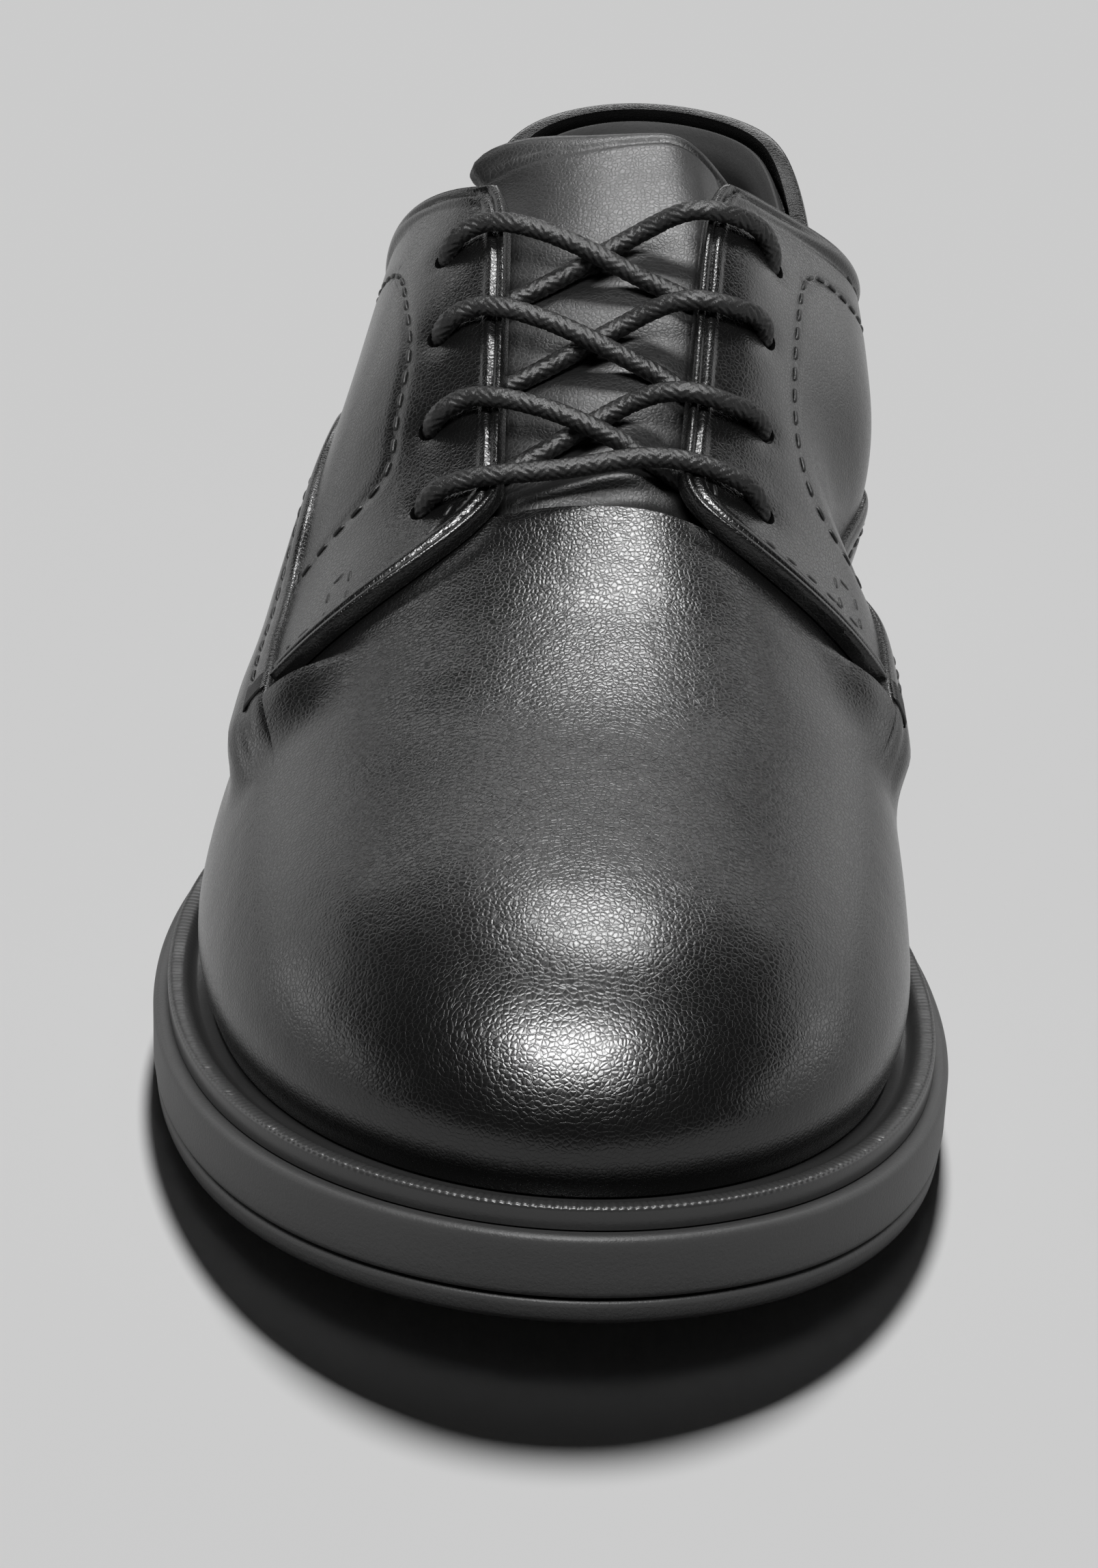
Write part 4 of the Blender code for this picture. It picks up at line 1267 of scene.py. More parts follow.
def punch_eyelets(piece, side):
    """Cuts the round lace holes through the facing."""
    points, faces = [], []
    sides = 20
    angles = np.linspace(0, 2 * math.pi, sides, endpoint=False)
    for along in EYELET_ROWS:
        ends = [eyelet_place(along, side, lift) for lift in (-0.003, 0.008)]
        axis = Vector(ends[1] - ends[0]).normalized()
        across = axis.orthogonal().normalized()
        other = axis.cross(across)
        start = len(points)
        for end in ends:
            for angle in angles:
                spoke = across * math.cos(angle) + other * math.sin(angle)
                points.append(Vector(end) + spoke * EYELET_RADIUS)
        low = list(range(start, start + sides))
        high = [k + sides for k in low]
        faces += [low[::-1], high]
        faces += [(low[k - 1], low[k], high[k], high[k - 1]) for k in range(sides)]
    mesh = bpy.data.meshes.new("eyelet_punch")
    mesh.from_pydata(points, [], faces)
    punch = add_object("eyelet_punch", mesh)
    cut = piece.modifiers.new("eyelets", "BOOLEAN")
    cut.operation = "DIFFERENCE"
    cut.object = punch
    bpy.context.view_layer.update()
    graph = bpy.context.evaluated_depsgraph_get()
    cut_mesh = bpy.data.meshes.new_from_object(piece.evaluated_get(graph))
    piece.modifiers.clear()
    piece.data = cut_mesh
    bpy.data.objects.remove(punch, do_unlink=True)


def tube_faces(rings, sides, base):
    """The faces of a closed tube whose points start at base."""
    i, j = np.mgrid[0 : rings - 1, 0:sides]
    a, b = base + i * sides + j, base + i * sides + (j + 1) % sides
    faces = np.stack([a, b, b + sides, a + sides], -1).reshape(-1, 4).tolist()
    last = base + (rings - 1) * sides
    faces.append(list(range(base + sides - 1, base - 1, -1)))
    faces.append(list(range(last, last + sides)))
    return faces


def run_lengths(line):
    """How far each point of a line lies along it."""
    steps = np.linalg.norm(np.diff(line, axis=0), axis=1)
    return np.concatenate([[0], np.cumsum(steps)])


def at_lengths(values, lengths, where):
    """Points or directions of a line at some lengths along it."""
    return np.stack([np.interp(where, lengths, values[:, k]) for k in range(3)], -1)


def capsules(starts, ends, outs, radius):
    """Threads from starts to ends, each a rounded rod that is a little flattened."""
    rings, sides = 7, 8
    angles = np.linspace(0, 2 * math.pi, sides, endpoint=False)
    shares = np.linspace(0, 1, rings)
    swell = np.sqrt(np.clip(1 - (2 * shares - 1) ** 6, 0.04, 1))
    dip = 0.9 * radius * (2 * shares - 1) ** 4
    points, faces = [], []
    for start, end, out in zip(starts, ends, outs):
        ahead = (end - start) / max(np.linalg.norm(end - start), 1e-9)
        sideways = np.cross(out, ahead)
        sideways /= max(np.linalg.norm(sideways), 1e-9)
        middle = start + (end - start) * shares[:, None] - out * dip[:, None]
        ring = sideways * np.cos(angles)[:, None] + out * 0.75 * np.sin(angles)[:, None]
        spots = middle[:, None] + ring[None] * (radius * swell)[:, None, None]
        faces += tube_faces(rings, sides, len(points) * rings * sides)
        points.append(spots.reshape(-1, 3))
    return np.concatenate(points), faces


# How far a stitch sinks into the leather, as a share of its thread's radius
THREAD_SINK = 0.3


def stitch_run(line, outs, sizes):
    """Starts, ends and outward directions of stitches laid end to end along a line."""
    length = run_lengths(line)
    pitch = sizes.stitch + sizes.stitch_gap
    count = max(int(length[-1] / pitch), 1)
    first = (np.arange(count) + 0.5) * length[-1] / count - sizes.stitch / 2
    out = at_lengths(outs, length, first + sizes.stitch / 2)
    out /= np.linalg.norm(out, axis=1, keepdims=True)
    drop = out * sizes.thread * THREAD_SINK
    starts = at_lengths(line, length, first)
    return starts - drop, at_lengths(line, length, first + sizes.stitch) - drop, out


def skin_line(along, rise, side, lift):
    """A line on the last with its outward directions."""
    turn = turn_of(along)
    return skin(turn, rise, side, lift), skin_normal(turn, rise, side)


def seam_lines(side):
    """Every stitched line of one side of the upper."""
    along, height = smooth_line(QUARTER_SEAM[side], 400)
    lines = [skin_line(along, rise_at_height(along, height), side, QUARTER_FACE)]
    along = np.linspace(0.004, 0.40, 240)
    high = facing_rise(along, facing_gap(along), side)
    lines.append(skin_line(along, high - climb(ROLL_GROOVE[0], along), side, QUARTER_FACE))
    along = np.linspace(WING_REAR + WING_GROWTH, wing_corner(side), 160)
    rise = wing_rise(along, side) - climb(WING_SEAM, along)
    lines.append(skin_line(along, rise, side, QUARTER_FACE + WING_WALL))
    alongs, low, high = quarter_edges(side)
    tip, length = FLAP_FRONT[side][:2]
    front = alongs > tip - length
    inner = high[front] - climb(FRONT_SEAM, alongs[front])
    along = np.minimum(alongs[front], tip - FRONT_SEAM / SOLE_LENGTH)
    line, outs = skin_line(along, np.maximum(inner, low[front] + 0.02), side, QUARTER_FACE)
    lines.append((line[::-1], outs[::-1]))
    return lines


def make_stitching(name, side, sizes):
    """All the stitches of one side, with the bar tacks at the flap's corner."""
    runs = [stitch_run(line, outs, sizes) for line, outs in seam_lines(side)]
    runs += [stitch_run(*tack_box(side), sizes), ladder(side)]
    starts, ends, outs = (np.concatenate(group) for group in zip(*runs))
    points, faces = capsules(starts, ends, outs, sizes.thread)
    return add_piece(new_mesh(name, points, faces), "thread")


# Bar tacks: a small stitched box that holds the flap, drawn as corners of (along, height), and a tight
# ladder of threads across the seam where the wing meets the flap's corner. How far it reaches back and
# ahead of the corner are shares of SOLE_LENGTH.
TACK_BOXES = {
    LATERAL: ((0.643, 0.420), (0.671, 0.396), (0.675, 0.372), (0.647, 0.396), (0.643, 0.420)),
    MEDIAL: ((0.616, 0.414), (0.637, 0.390), (0.637, 0.358), (0.616, 0.382), (0.616, 0.414)),
}
LADDER_BACK, LADDER_AHEAD = 0.004, 0.006
LADDER_THREADS = 7


def tack_box(side):
    """The line of the stitched box on the flap."""
    corners = np.array(TACK_BOXES[side])
    share = np.linspace(0, 1, 12, endpoint=False)[:, None]
    runs = [a + (b - a) * share for a, b in zip(corners, corners[1:])]
    along, height = np.concatenate(runs).T
    return skin_line(along, rise_at_height(along, height), side, QUARTER_FACE)


def ladder(side):
    """The threads laid side by side over the wing's corner."""
    corner = wing_corner(side)
    along = np.linspace(corner - LADDER_BACK, corner + LADDER_AHEAD, LADDER_THREADS)
    lift = QUARTER_FACE + WING_WALL + 0.0001
    edge = wing_rise(along, side)
    starts, outs = skin_line(along, edge - climb(0.0030, along), side, lift)
    ends, _ = skin_line(along - 0.002, edge + climb(0.0002, along), side, lift)
    return starts, ends, outs


TONGUE_ROWS, TONGUE_COLUMNS = 110, 84
# The tongue's rounded edge: how far inside it rows and columns lie, and their share of its thickness
TONGUE_ROLL = (
    # inside the edge, share of half the thickness
    (0.0000, 0.05),
    (0.0002, 0.36),
    (0.0005, 0.58),
    (0.0010, 0.80),
    (0.0016, 0.94),
    (0.0022, 1.00),
)


def tongue_face(alongs, across, lift):
    """A face of the tongue, lifted off the last, whose edges stand up towards its top."""
    stand = np.clip(tongue_flare(-alongs), 0, 1)[:, None]
    straight = MEDIAL_SKEW * smooth_step(across / FACING_GAP + 0.5) * stand
    points = over_crest(alongs[:, None] - straight, across + TONGUE_SHIFT, lift)
    flare = stand * np.where(across < 0, TONGUE_FLARE, INNER_FLARE) * (2 * across / TONGUE_WIDTH) ** 2
    return points + flare[..., None] * np.array([0.0, 0.0, 1.0])


def tongue_relief(along, across):
    """The tongue's padding, the fold at its foot and the bed that each crossing presses in."""
    puff = 0.0007 * np.cos(np.clip(across / 0.024, -1, 1) * math.pi / 2)
    fold = 0.0009 * bell(along, 0.6325, 0.0045) * np.exp(-((across / 0.010) ** 4))
    dip = -0.0006 * bell(along, 0.6220, 0.0040) * np.exp(-((across / 0.012) ** 4))
    pressed = sum(
        bell(along, (first + second) / 2, 0.007) * bell(across, 0, 0.009)
        for first, second in zip(EYELET_ROWS, EYELET_ROWS[1:])
    )
    stitched = -0.0003 * bell(along, 0.4460, 0.0016)
    return puff + fold + dip - 0.0008 * pressed + stitched


def make_tongue():
    """The padded tongue, rounded at its edges, from inside the throat to its free top."""
    roll = np.array(TONGUE_ROLL)
    first, last = TONGUE[-1][0], TONGUE[0][0]
    body = np.linspace(first + roll[-1, 0] / SOLE_LENGTH, last, TONGUE_ROWS)
    alongs = np.concatenate([first + roll[:-1, 0] / SOLE_LENGTH, body])
    half = tongue_half(-alongs) * TONGUE_WIDTH / 2
    inside = np.linspace(-1, 1, TONGUE_COLUMNS)
    edge = np.minimum(half, roll[-1, 0])
    right = half[:, None] - edge[:, None] * roll[:-1, 0] / roll[-1, 0]
    across = np.concatenate([-right, (half - edge)[:, None] * inside, right[:, ::-1]], axis=1)
    share_down = np.concatenate([roll[:-1, 1], np.ones(TONGUE_ROWS)])
    share_over = np.concatenate([roll[:-1, 1], np.ones(TONGUE_COLUMNS), roll[-2::-1, 1]])
    share = np.minimum(share_down[:, None], share_over[None])
    top = UPPER_WALL + TONGUE_SEAT
    relief = tongue_relief(alongs[:, None], across)
    middle = -(top + TONGUE_WALL / 2)
    faces = []
    for sign in (1, -1):
        lift = middle + sign * TONGUE_WALL / 2 * share + relief * (share if sign > 0 else 0)
        faces.append(tongue_face(alongs, across, lift))
    return closed_shell(*faces).build("tongue_leather", "tongue", "tongue_leather", ["tongue"], 60)


LACE_SIDES = 32
LACE_RING = 0.00028
BRAID_STRANDS = 8


def lace_tube(points, sizes, base):
    """A braided cord along a dense line of points, closed at both ends. Its own points start at base."""
    length = run_lengths(points)
    count = int(length[-1] / LACE_RING)
    where = np.linspace(0, length[-1], count)
    line = at_lengths(points, length, where)
    ahead = np.gradient(line, axis=0)
    ahead /= np.linalg.norm(ahead, axis=1, keepdims=True)
    normal = np.cross(ahead[0], (0.0, 0.0, 1.0))
    normals = []
    for direction in ahead:
        normal = normal - direction * (normal @ direction)
        normal = normal / np.linalg.norm(normal)
        normals.append(normal)
    normals = np.array(normals)
    others = np.cross(ahead, normals)
    angle = np.linspace(0, 2 * math.pi, LACE_SIDES, endpoint=False)
    first = BRAID_STRANDS * angle[None] / (2 * math.pi) + where[:, None] / sizes.braid
    second = BRAID_STRANDS * angle[None] / (2 * math.pi) - where[:, None] / sizes.braid
    over = (np.floor(first) + np.floor(second)) % 2 < 1
    bed = np.where(over, first % 1, second % 1)
    end = np.clip(np.minimum(where, length[-1] - where) / LACE_RADIUS, 0, 1)
    taper = np.sqrt(1 - (1 - end) ** 2)[:, None]
    radius = LACE_RADIUS - sizes.braid_depth * (1 - np.sin(math.pi * bed) ** 0.8)
    radius = radius * np.maximum(taper, 0.05)
    over_way, side_way = np.cos(angle)[:, None], np.sin(angle)[:, None]
    spokes = normals[:, None] * over_way + others[:, None] * side_way
    spots = line[:, None] + spokes * radius[..., None]
    return spots.reshape(-1, 3), tube_faces(count, LACE_SIDES, base)


# Heights of the lace's middle over the last: on the facings, and between facing and tongue
LACE_ON_TOP = QUARTER_FACE + 0.0005 + LACE_RADIUS
LACE_BELOW = -0.0013

# How a lace lies from under the far facing to its eyelet: its place as a share of the way from the
# middle to the eyelet, how far before the eyelet's row it lies, and its height from LACE_BELOW (0)
# to LACE_ON_TOP (1)
LACE_RUNS = {
    LATERAL: (
        (-0.64, 0.0460, 0.00),
        (-0.47, 0.0420, 0.00),
        (-0.28, 0.0365, 0.14),
        (0.00, 0.0255, 0.48),
        (0.30, 0.0120, 0.76),
        (0.57, 0.0030, 0.99),
        (0.78, -0.0015, 1.00),
    ),
    MEDIAL: (
        (-0.64, 0.0310, 0.00),
        (-0.46, 0.0280, 0.00),
        (-0.13, 0.0200, 0.02),
        (0.10, 0.0150, 0.12),
        (0.36, 0.0125, 0.58),
        (0.58, 0.0110, 0.98),
        (0.78, 0.0070, 1.00),
    ),
}
LACE_INTO_EYELET = (
    # share of the way from the middle to the eyelet, height
    (0.89, 0.93),
    (0.96, 0.72),
    (1.00, 0.36),
    (1.01, 0.02),
)


def lace_path(rows):
    """A dense smooth line through rows of (along, across, height)."""
    rows = np.array(rows)
    rows[:, 2] = LACE_BELOW + (LACE_ON_TOP - LACE_BELOW) * rows[:, 2]
    spans = np.diff(rows, axis=0) * (SOLE_LENGTH, 1.0, 1.0)
    length = np.concatenate([[0.0], np.cumsum(np.linalg.norm(spans, axis=1))])
    fine = np.linspace(0, length[-1], 400)
    along, across, lift = (smooth_curve(length, rows[:, k])(fine) for k in range(3))
    return over_crest(along, across, lift)


def into_eyelet(row, side, lead=0.0):
    """The last stretch of a lace, which may come in from before the eyelet's row."""
    eye = side * EYELET_SPREAD / 2
    return [(row + lead * (1 - share) * 4, eye * share, height) for share, height in LACE_INTO_EYELET]


def bar_path():
    """The straight lace across the lowest pair of eyelets."""
    row, eye = EYELET_ROWS[0], EYELET_SPREAD / 2
    lateral = [(row + 0.002, -eye * 0.45, 0.92), (row, -eye * 0.75, 1.0)]
    medial = [(row + 0.004, eye * 0.45, 0.84), (row + 0.001, eye * 0.75, 0.96)]
    run = lateral[::-1] + [(row + 0.005, 0.0, 0.74)] + medial
    return lace_path(into_eyelet(row, LATERAL)[::-1] + run + into_eyelet(row, MEDIAL))


def crossing_path(index, side):
    """From under the far facing, across the tongue, over the near facing and into its eyelet."""
    row, eye = EYELET_ROWS[index], side * EYELET_SPREAD / 2
    run = [(row + lead, eye * share, height) for share, lead, height in LACE_RUNS[side]]
    return lace_path(run + into_eyelet(row, side, LACE_RUNS[side][-1][1]))


def make_laces(sizes):
    """The bar and the three crossings, run through the punched eyelets."""
    groups = {"lace_bar_cord": [bar_path()]}
    for index in range(1, len(EYELET_ROWS)):
        paths = [crossing_path(index, LATERAL), crossing_path(index, MEDIAL)]
        groups[f"lace_cross_{index}_cord"] = paths
    for name, paths in groups.items():
        points, faces, count = [], [], 0
        for path in paths:
            spots, cells = lace_tube(path, sizes, count)
            points.append(spots)
            faces += cells
            count += len(spots)
        mesh = new_mesh(name, np.concatenate(points), faces)
        add_piece(mesh, "cord", [name.replace("_cord", "")])


def ring(loop, inset, height):
    """A ring of points at a depth inside the sole's edge and a height over the tread."""
    plan = outline(loop, inset)
    return np.column_stack([plan, tread(plan[:, 1]) + height])


def closed_ring(points):
    return np.vstack([points, points[:1]])


# The welt's cross-section, round from its foot: depth inside the sole's edge as a share of reach(),
# height over the midsole, and how much of a wheel mark the row takes
WELT_SECTION = (
    # depth, height, mark
    (0.270, 0.00000, 0.0),
    (0.265, 0.00120, 0.0),
    (0.262, 0.00250, 0.2),
    (0.270, 0.00295, 0.6),
    (0.295, 0.00318, 1.0),
    (0.340, 0.00328, 1.0),
    (0.400, 0.00332, 1.0),
    (0.460, 0.00330, 1.0),
    (0.530, 0.00322, 1.0),
    (0.580, 0.00305, 0.8),
    (0.620, 0.00275, 0.3),
    (0.670, 0.00235, 0.0),
    (0.720, 0.00200, 0.0),
    (0.800, 0.00185, 0.0),
    (1.000, 0.00185, 0.0),
    (1.700, 0.00185, 0.0),
    (1.700, 0.00000, 0.0),
)
WELT_STEPS = 2400


def make_welt(sizes):
    """The storm welt: a raised rim with fine wheel marks, and a trough beside the upper."""
    loop = np.linspace(0, 2 * math.pi, WELT_STEPS, endpoint=False)
    lengths = run_lengths(closed_ring(edge_point(loop)))
    marks = round(lengths[-1] / sizes.wheel)
    wave = 0.5 - 0.5 * np.cos(2 * math.pi * marks * lengths[:-1] / lengths[-1])
    depth = reach(along_of(loop))
    rows = []
    for share, height, mark in WELT_SECTION:
        marked = mark * sizes.wheel_depth * wave**3
        rows.append(closed_ring(ring(loop, depth * share, WELT_FOOT + height - marked)))
    rows.append(rows[0])
    solid = Solid()
    solid.sheet(np.array(rows))
    return solid.build("welt_strip", "welt", "welt_rubber", ["welt"], 50)


def plate(solid, rings):
    """Closes rings of points with a top and an underside."""
    solid.sheet(np.array([closed_ring(points) for points in rings]))
    half = len(rings[0]) // 2
    for points in (rings[0], rings[-1]):
        lateral = points[: half + 1]
        medial = np.vstack([points[:1], points[: half - 1 : -1]])
        share = np.linspace(0, 1, 13)[:, None, None]
        solid.sheet(lateral[None] * (1 - share) + medial[None] * share)


SOLE_STEPS = 720
# The midsole's side wall from its foot up. The notch at the foot is the parting line over the outsole,
# and the shoulder rounds over to the ledge beside the welt.
MIDSOLE_SECTION = (
    # inset, height over the midsole's foot
    (0.00110, 0.00000),
    (0.00070, 0.00006),
    (0.00030, 0.00025),
    (0.00008, 0.00060),
    (0.00000, 0.00110),
    (0.00000, 0.00300),
    (0.00000, 0.00500),
    (0.00000, 0.00660),
    (0.00000, 0.00780),
    (0.00006, 0.00822),
    (0.00020, 0.00856),
    (0.00042, 0.00882),
    (0.00068, 0.00896),
    (0.00095, 0.00900),
    (0.00170, 0.00900),
)


def make_midsole():
    loop = np.linspace(0, 2 * math.pi, SOLE_STEPS, endpoint=False)
    solid = Solid()
    plate(solid, [ring(loop, inset, MIDSOLE_BASE + height) for inset, height in MIDSOLE_SECTION])
    return solid.build("midsole_wall", "rubber", "sole_rubber", ["midsole"], 50)


OUTSOLE_SECTION = (
    # inset, height
    (0.00160, 0.00000),
    (0.00110, 0.00012),
    (0.00070, 0.00045),
    (0.00045, 0.00100),
    (0.00035, 0.00180),
    (0.00028, 0.00260),
    (0.00030, 0.00320),
    (0.00060, 0.00352),
    (0.00110, 0.00360),
)


def make_outsole():
    loop = np.linspace(0, 2 * math.pi, SOLE_STEPS, endpoint=False)
    solid = Solid()
    plate(solid, [ring(loop, inset, height) for inset, height in OUTSOLE_SECTION])
    return solid.build("outsole_layer", "rubber", "sole_rubber", ["outsole"], 50)


HEEL_STEPS = 240
HEEL_SECTION = (
    # inset, share of the block's height
    (0.00190, 0.000),
    (0.00140, 0.010),
    (0.00100, 0.035),
    (0.00082, 0.080),
    (0.00075, 0.200),
    (0.00060, 0.500),
    (0.00048, 0.800),
    (0.00042, 0.930),
    (0.00060, 0.975),
    (0.00100, 1.000),
)


def make_heel():
    """The heel block with a straight breast."""
    breast = float(turn_of(HEEL_BLOCK_LENGTH / SOLE_LENGTH))
    loop = np.linspace(-breast, breast, HEEL_STEPS + 1)
    rows = []
    for inset, share in HEEL_SECTION:
        plan = outline(loop, inset)
        rows.append(np.column_stack([plan, (tread(plan[:, 1]) - SEAT) * share]))
    rows = np.array(rows)
    solid = Solid()
    solid.sheet(rows)
    half = HEEL_STEPS // 2
    share = np.linspace(0, 1, 9)[:, None, None]
    for points in (rows[0], rows[-1]):
        left, right = points[half::-1], points[half:]
        solid.sheet(left[None] * (1 - share) + right[None] * share)
    left, right = rows[:, 0], rows[:, -1]
    solid.sheet(left[None] * (1 - share) + right[None] * share)
    return solid.build("heel_block", "rubber", "sole_rubber", ["heel"], 50)


INSOLE_CLEAR = 0.0012


def make_insole():
    """The footbed, rounded at its edge."""
    loop = np.linspace(0, 2 * math.pi, SOLE_STEPS // 2, endpoint=False)
    depth = reach(along_of(loop))
    inner = depth * WELT_SECTION[-1][0] + SEAT
    spread = depth + UPPER_WALL + INSOLE_CLEAR
    rings = [
        ring(loop, inner, WELT_FOOT),
        ring(loop, inner, FEATHER),
        ring(loop, spread, FEATHER),
        ring(loop, spread, FEATHER + INSOLE_THICKNESS * 0.55),
        ring(loop, spread + 0.0004, FEATHER + INSOLE_THICKNESS * 0.85),
        ring(loop, spread + 0.0012, FEATHER + INSOLE_THICKNESS),
    ]
    solid = Solid()
    plate(solid, rings)
    return solid.build("footbed", "lining", "lining", ["insole"], 50)


# The camera that took the photo, found from points of the shoe: its place, what it looks at, how far
# it is rolled, and its focal length in pixels of the 1608 x 2296 picture.
CAMERA_PLACE = (0.0122, -0.5390, 0.2590)
CAMERA_TARGET = (0.0022, -0.1837, 0.0970)
CAMERA_ROLL = math.radians(2.3)
FOCAL_PIXELS = 5321
PICTURE_HEIGHT = 2296
SENSOR = 36.0

LIGHTS = (
    # name, direction from LIGHTS_AIM, distance, width, height, power
    ("front_box", (0.00, -0.47, 0.88), 1.00, 0.46, 0.22, 15.0),
    ("rear_box", (0.06, 0.27, 0.96), 1.00, 0.34, 0.16, 5.5),
    ("back_strip", (0.00, 0.62, 0.79), 1.20, 2.20, 0.14, 3.6),
    ("back_low", (0.00, 0.92, 0.38), 1.50, 0.90, 0.30, 2.6),
    ("left_fill", (-0.78, 0.55, 0.28), 1.30, 1.30, 0.65, 2.8),
    ("right_fill", (0.78, 0.55, 0.28), 1.30, 1.30, 0.65, 3.2),
    ("left_low", (-0.98, 0.05, 0.12), 1.20, 0.80, 0.22, 0.9),
    ("right_low", (0.98, 0.05, 0.12), 1.20, 0.80, 0.22, 0.9),
)
LIGHTS_AIM = (0.0, -0.09, 0.05)
SUN_FROM = (0.0, 0.62, 0.78)
SUN_ANGLE = math.radians(9)
SUN_STRENGTH = 3.3
WORLD_GREY = 0.010
WALL_GREY = 0.60
FLOOR_SIZE = 14.0


def look_from(place, target, roll=0.0):
    """A matrix at a place whose -Z axis points at the target."""
    back = (Vector(place) - Vector(target)).normalized()
    right = Vector((0, 0, 1)).cross(back).normalized()
    up = back.cross(right)
    turned = right * math.cos(roll) + up * math.sin(roll)
    upward = up * math.cos(roll) - right * math.sin(roll)
    matrix = Matrix((turned, upward, back)).transposed().to_4x4()
    matrix.translation = Vector(place)
    return matrix


def add_camera():
    data = bpy.data.cameras.new("camera")
    data.sensor_width = SENSOR
    data.lens = FOCAL_PIXELS / PICTURE_HEIGHT * SENSOR
    data.clip_start = 0.01
    data.clip_end = 100
    camera = add_object("camera", data)
    camera.matrix_world = look_from(CAMERA_PLACE, CAMERA_TARGET, CAMERA_ROLL)
    bpy.context.scene.camera = camera


def add_lights(shoe, stage):
    """Soft boxes for the shoe, and an even light from behind for the floor and its shadow."""
    for name, direction, distance, width, height, power in LIGHTS:
        data = bpy.data.lights.new(name, "AREA")
        data.shape = "RECTANGLE"
        data.size, data.size_y = width, height
        data.energy = power
        light = add_object(name, data)
        place = Vector(LIGHTS_AIM) + Vector(direction).normalized() * distance
        light.matrix_world = look_from(place, LIGHTS_AIM)
        light.visible_camera = False
        light.light_linking.receiver_collection = shoe
    data = bpy.data.lights.new("floor_light", "SUN")
    data.energy = SUN_STRENGTH
    data.angle = SUN_ANGLE
    sun = add_object("floor_light", data)
    sun.matrix_world = look_from(SUN_FROM, (0, 0, 0))
    sun.light_linking.receiver_collection = stage


def add_floor():
    half = FLOOR_SIZE / 2
    mesh = bpy.data.meshes.new("floor")
    corners = [(-half, -half, 0), (half, -half, 0), (half, half, 0), (-half, half, 0)]
    mesh.from_pydata(corners, [], [(0, 1, 2, 3)])
    floor = add_object("floor", mesh)
    floor.data.materials.append(material("floor"))
    return floor


def add_world():
    """A dark room for the shoe to mirror, whose far wall looks as pale as the floor."""
    world = bpy.data.worlds.new("studio")
    world.use_nodes = True
    tree = world.node_tree
    seen = tree.nodes.new("ShaderNodeLightPath").outputs["Is Camera Ray"]
    wall = tree.nodes.new("ShaderNodeMapRange")
    wall.inputs["To Min"].default_value = WORLD_GREY
    wall.inputs["To Max"].default_value = WALL_GREY
    tree.links.new(seen, wall.inputs["Value"])
    tree.links.new(wall.outputs["Result"], tree.nodes["Background"].inputs["Color"])
    bpy.context.scene.world = world
    bpy.context.scene.view_settings.view_transform = "Standard"


class SHOE_OT_vamp(bpy.types.Operator):
    """Adds the vamp with its wings and creases"""

    bl_idname = "shoe.vamp"
    bl_label = "Vamp"

    def execute(self, context):
        make_vamp(context.scene.shoe_sizes)
        return {"FINISHED"}


class SHOE_OT_quarters(bpy.types.Operator):
    """Adds both quarters with beads, seams and eyelets"""

    bl_idname = "shoe.quarters"
    bl_label = "Quarters"

    def execute(self, context):
        make_quarter("quarter_lateral_leather", LATERAL, context.scene.shoe_sizes)
        make_quarter("quarter_medial_leather", MEDIAL, context.scene.shoe_sizes)
        return {"FINISHED"}


class SHOE_OT_stitching(bpy.types.Operator):
    """Adds the stitches of both sides"""

    bl_idname = "shoe.stitching"
    bl_label = "Stitching"

    def execute(self, context):
        make_stitching("stitching_lateral", LATERAL, context.scene.shoe_sizes)
        make_stitching("stitching_medial", MEDIAL, context.scene.shoe_sizes)
        return {"FINISHED"}


class SHOE_OT_tongue(bpy.types.Operator):
    """Adds the padded tongue"""

    bl_idname = "shoe.tongue"
    bl_label = "Tongue"

    def execute(self, context):
        make_tongue()
        return {"FINISHED"}


class SHOE_OT_lining(bpy.types.Operator):
    """Adds the lining with the padded collar, and the footbed"""

    bl_idname = "shoe.lining"
    bl_label = "Lining and footbed"

    def execute(self, context):
        make_lining()
        make_insole()
        return {"FINISHED"}


class SHOE_OT_laces(bpy.types.Operator):
    """Adds the braided lace through its eyelets"""

    bl_idname = "shoe.laces"
    bl_label = "Laces"

    def execute(self, context):
        make_laces(context.scene.shoe_sizes)
        return {"FINISHED"}


class SHOE_OT_welt(bpy.types.Operator):
    """Adds the wheeled storm welt"""

    bl_idname = "shoe.welt"
    bl_label = "Welt"

    def execute(self, context):
        make_welt(context.scene.shoe_sizes)
        return {"FINISHED"}


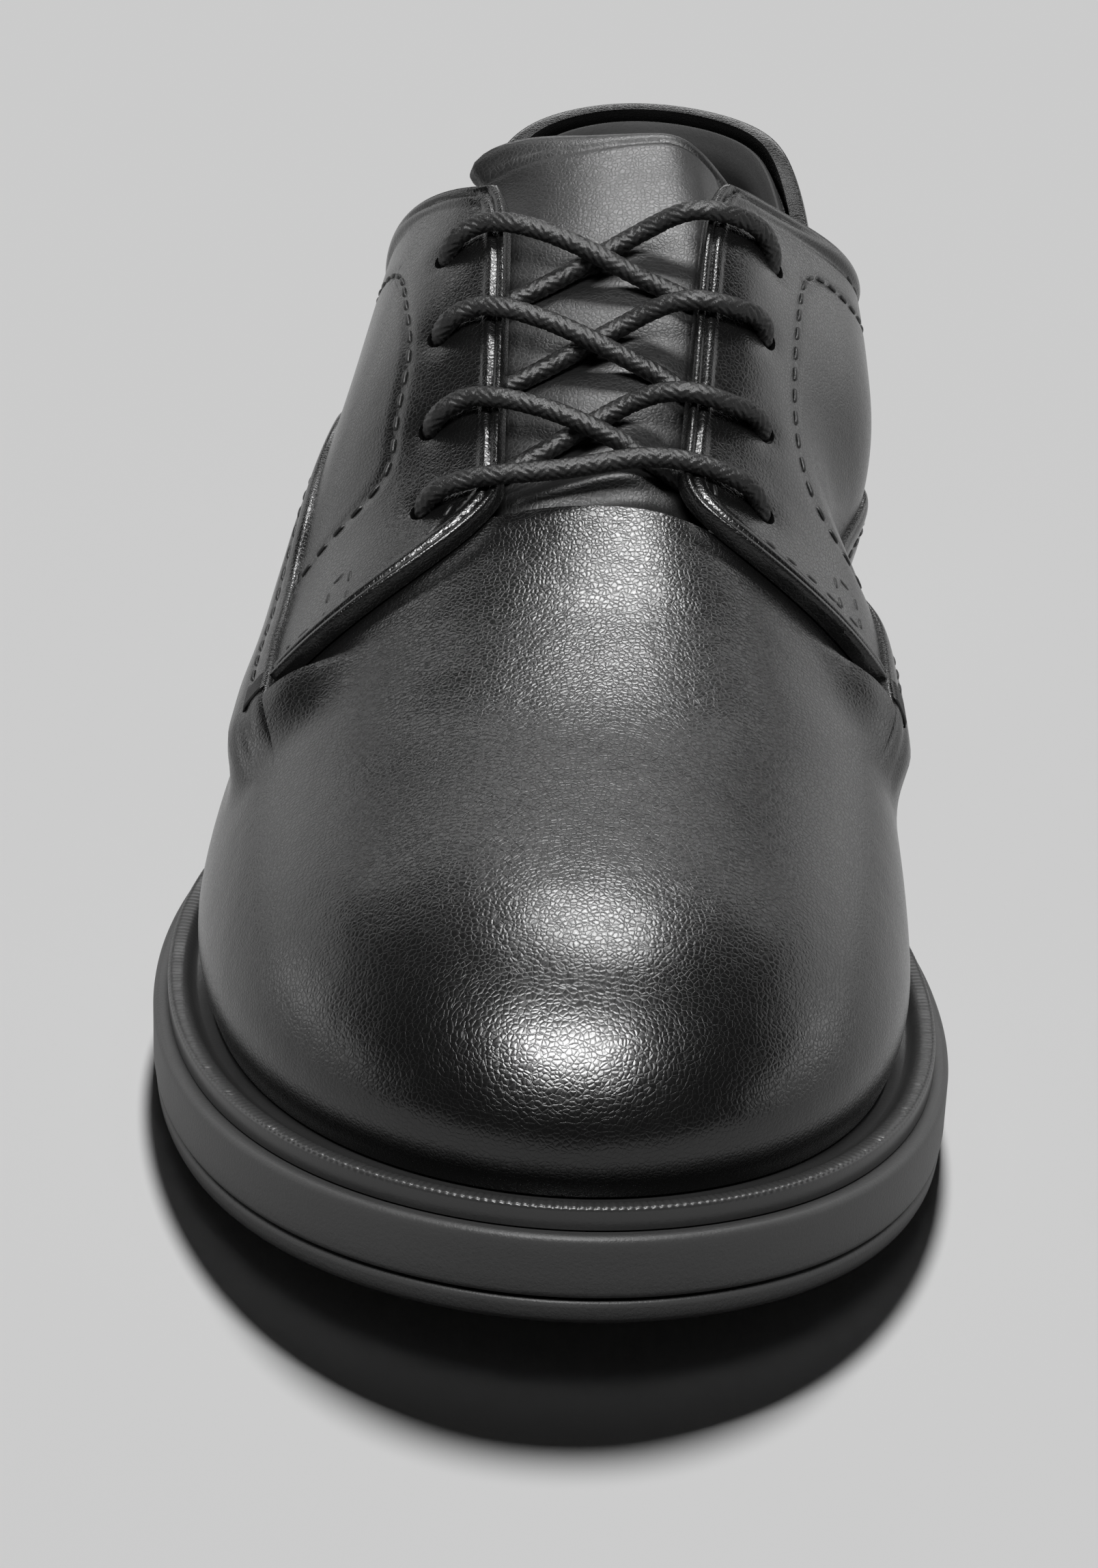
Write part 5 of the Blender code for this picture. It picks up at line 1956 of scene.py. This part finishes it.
class SHOE_OT_sole(bpy.types.Operator):
    """Adds midsole, outsole and heel"""

    bl_idname = "shoe.sole"
    bl_label = "Sole and heel"

    def execute(self, context):
        make_midsole()
        make_outsole()
        make_heel()
        return {"FINISHED"}


class SHOE_OT_stage(bpy.types.Operator):
    """Adds floor, lights, world and camera"""

    bl_idname = "shoe.stage"
    bl_label = "Stage"

    def execute(self, context):
        shoe = bpy.data.collections.new("shoe_receives")
        for item in context.scene.objects:
            if item.type == "MESH":
                shoe.objects.link(item)
        stage = bpy.data.collections.new("floor_receives")
        stage.objects.link(add_floor())
        add_lights(shoe, stage)
        add_world()
        add_camera()
        return {"FINISHED"}


OPERATORS = (
    SHOE_OT_vamp,
    SHOE_OT_quarters,
    SHOE_OT_stitching,
    SHOE_OT_tongue,
    SHOE_OT_lining,
    SHOE_OT_laces,
    SHOE_OT_welt,
    SHOE_OT_sole,
    SHOE_OT_stage,
)


class VIEW3D_PT_shoe(bpy.types.Panel):
    """Lists the shoe's pieces, sizes and colours"""

    bl_label = "Plain-toe derby"
    bl_space_type = "VIEW_3D"
    bl_region_type = "UI"
    bl_category = "Shoe"

    def draw(self, context):
        for operator in OPERATORS:
            self.layout.operator(operator.bl_idname)
        for group in (context.scene.shoe_sizes, context.scene.shoe_colours):
            for name in group.bl_rna.properties.keys():
                if name not in ("rna_type", "name"):
                    self.layout.prop(group, name)


CLASSES = (ShoeSizes, ShoeColours, *OPERATORS, VIEW3D_PT_shoe)


def register():
    for item in CLASSES:
        bpy.utils.register_class(item)
    bpy.types.Scene.shoe_sizes = bpy.props.PointerProperty(type=ShoeSizes)
    bpy.types.Scene.shoe_colours = bpy.props.PointerProperty(type=ShoeColours)


def unregister():
    del bpy.types.Scene.shoe_sizes
    del bpy.types.Scene.shoe_colours
    for item in reversed(CLASSES):
        bpy.utils.unregister_class(item)


def main():
    register()
    bpy.ops.shoe.vamp()
    bpy.ops.shoe.quarters()
    bpy.ops.shoe.stitching()
    bpy.ops.shoe.tongue()
    bpy.ops.shoe.lining()
    bpy.ops.shoe.laces()
    bpy.ops.shoe.welt()
    bpy.ops.shoe.sole()
    bpy.ops.shoe.stage()


if __name__ == "__main__":
    main()
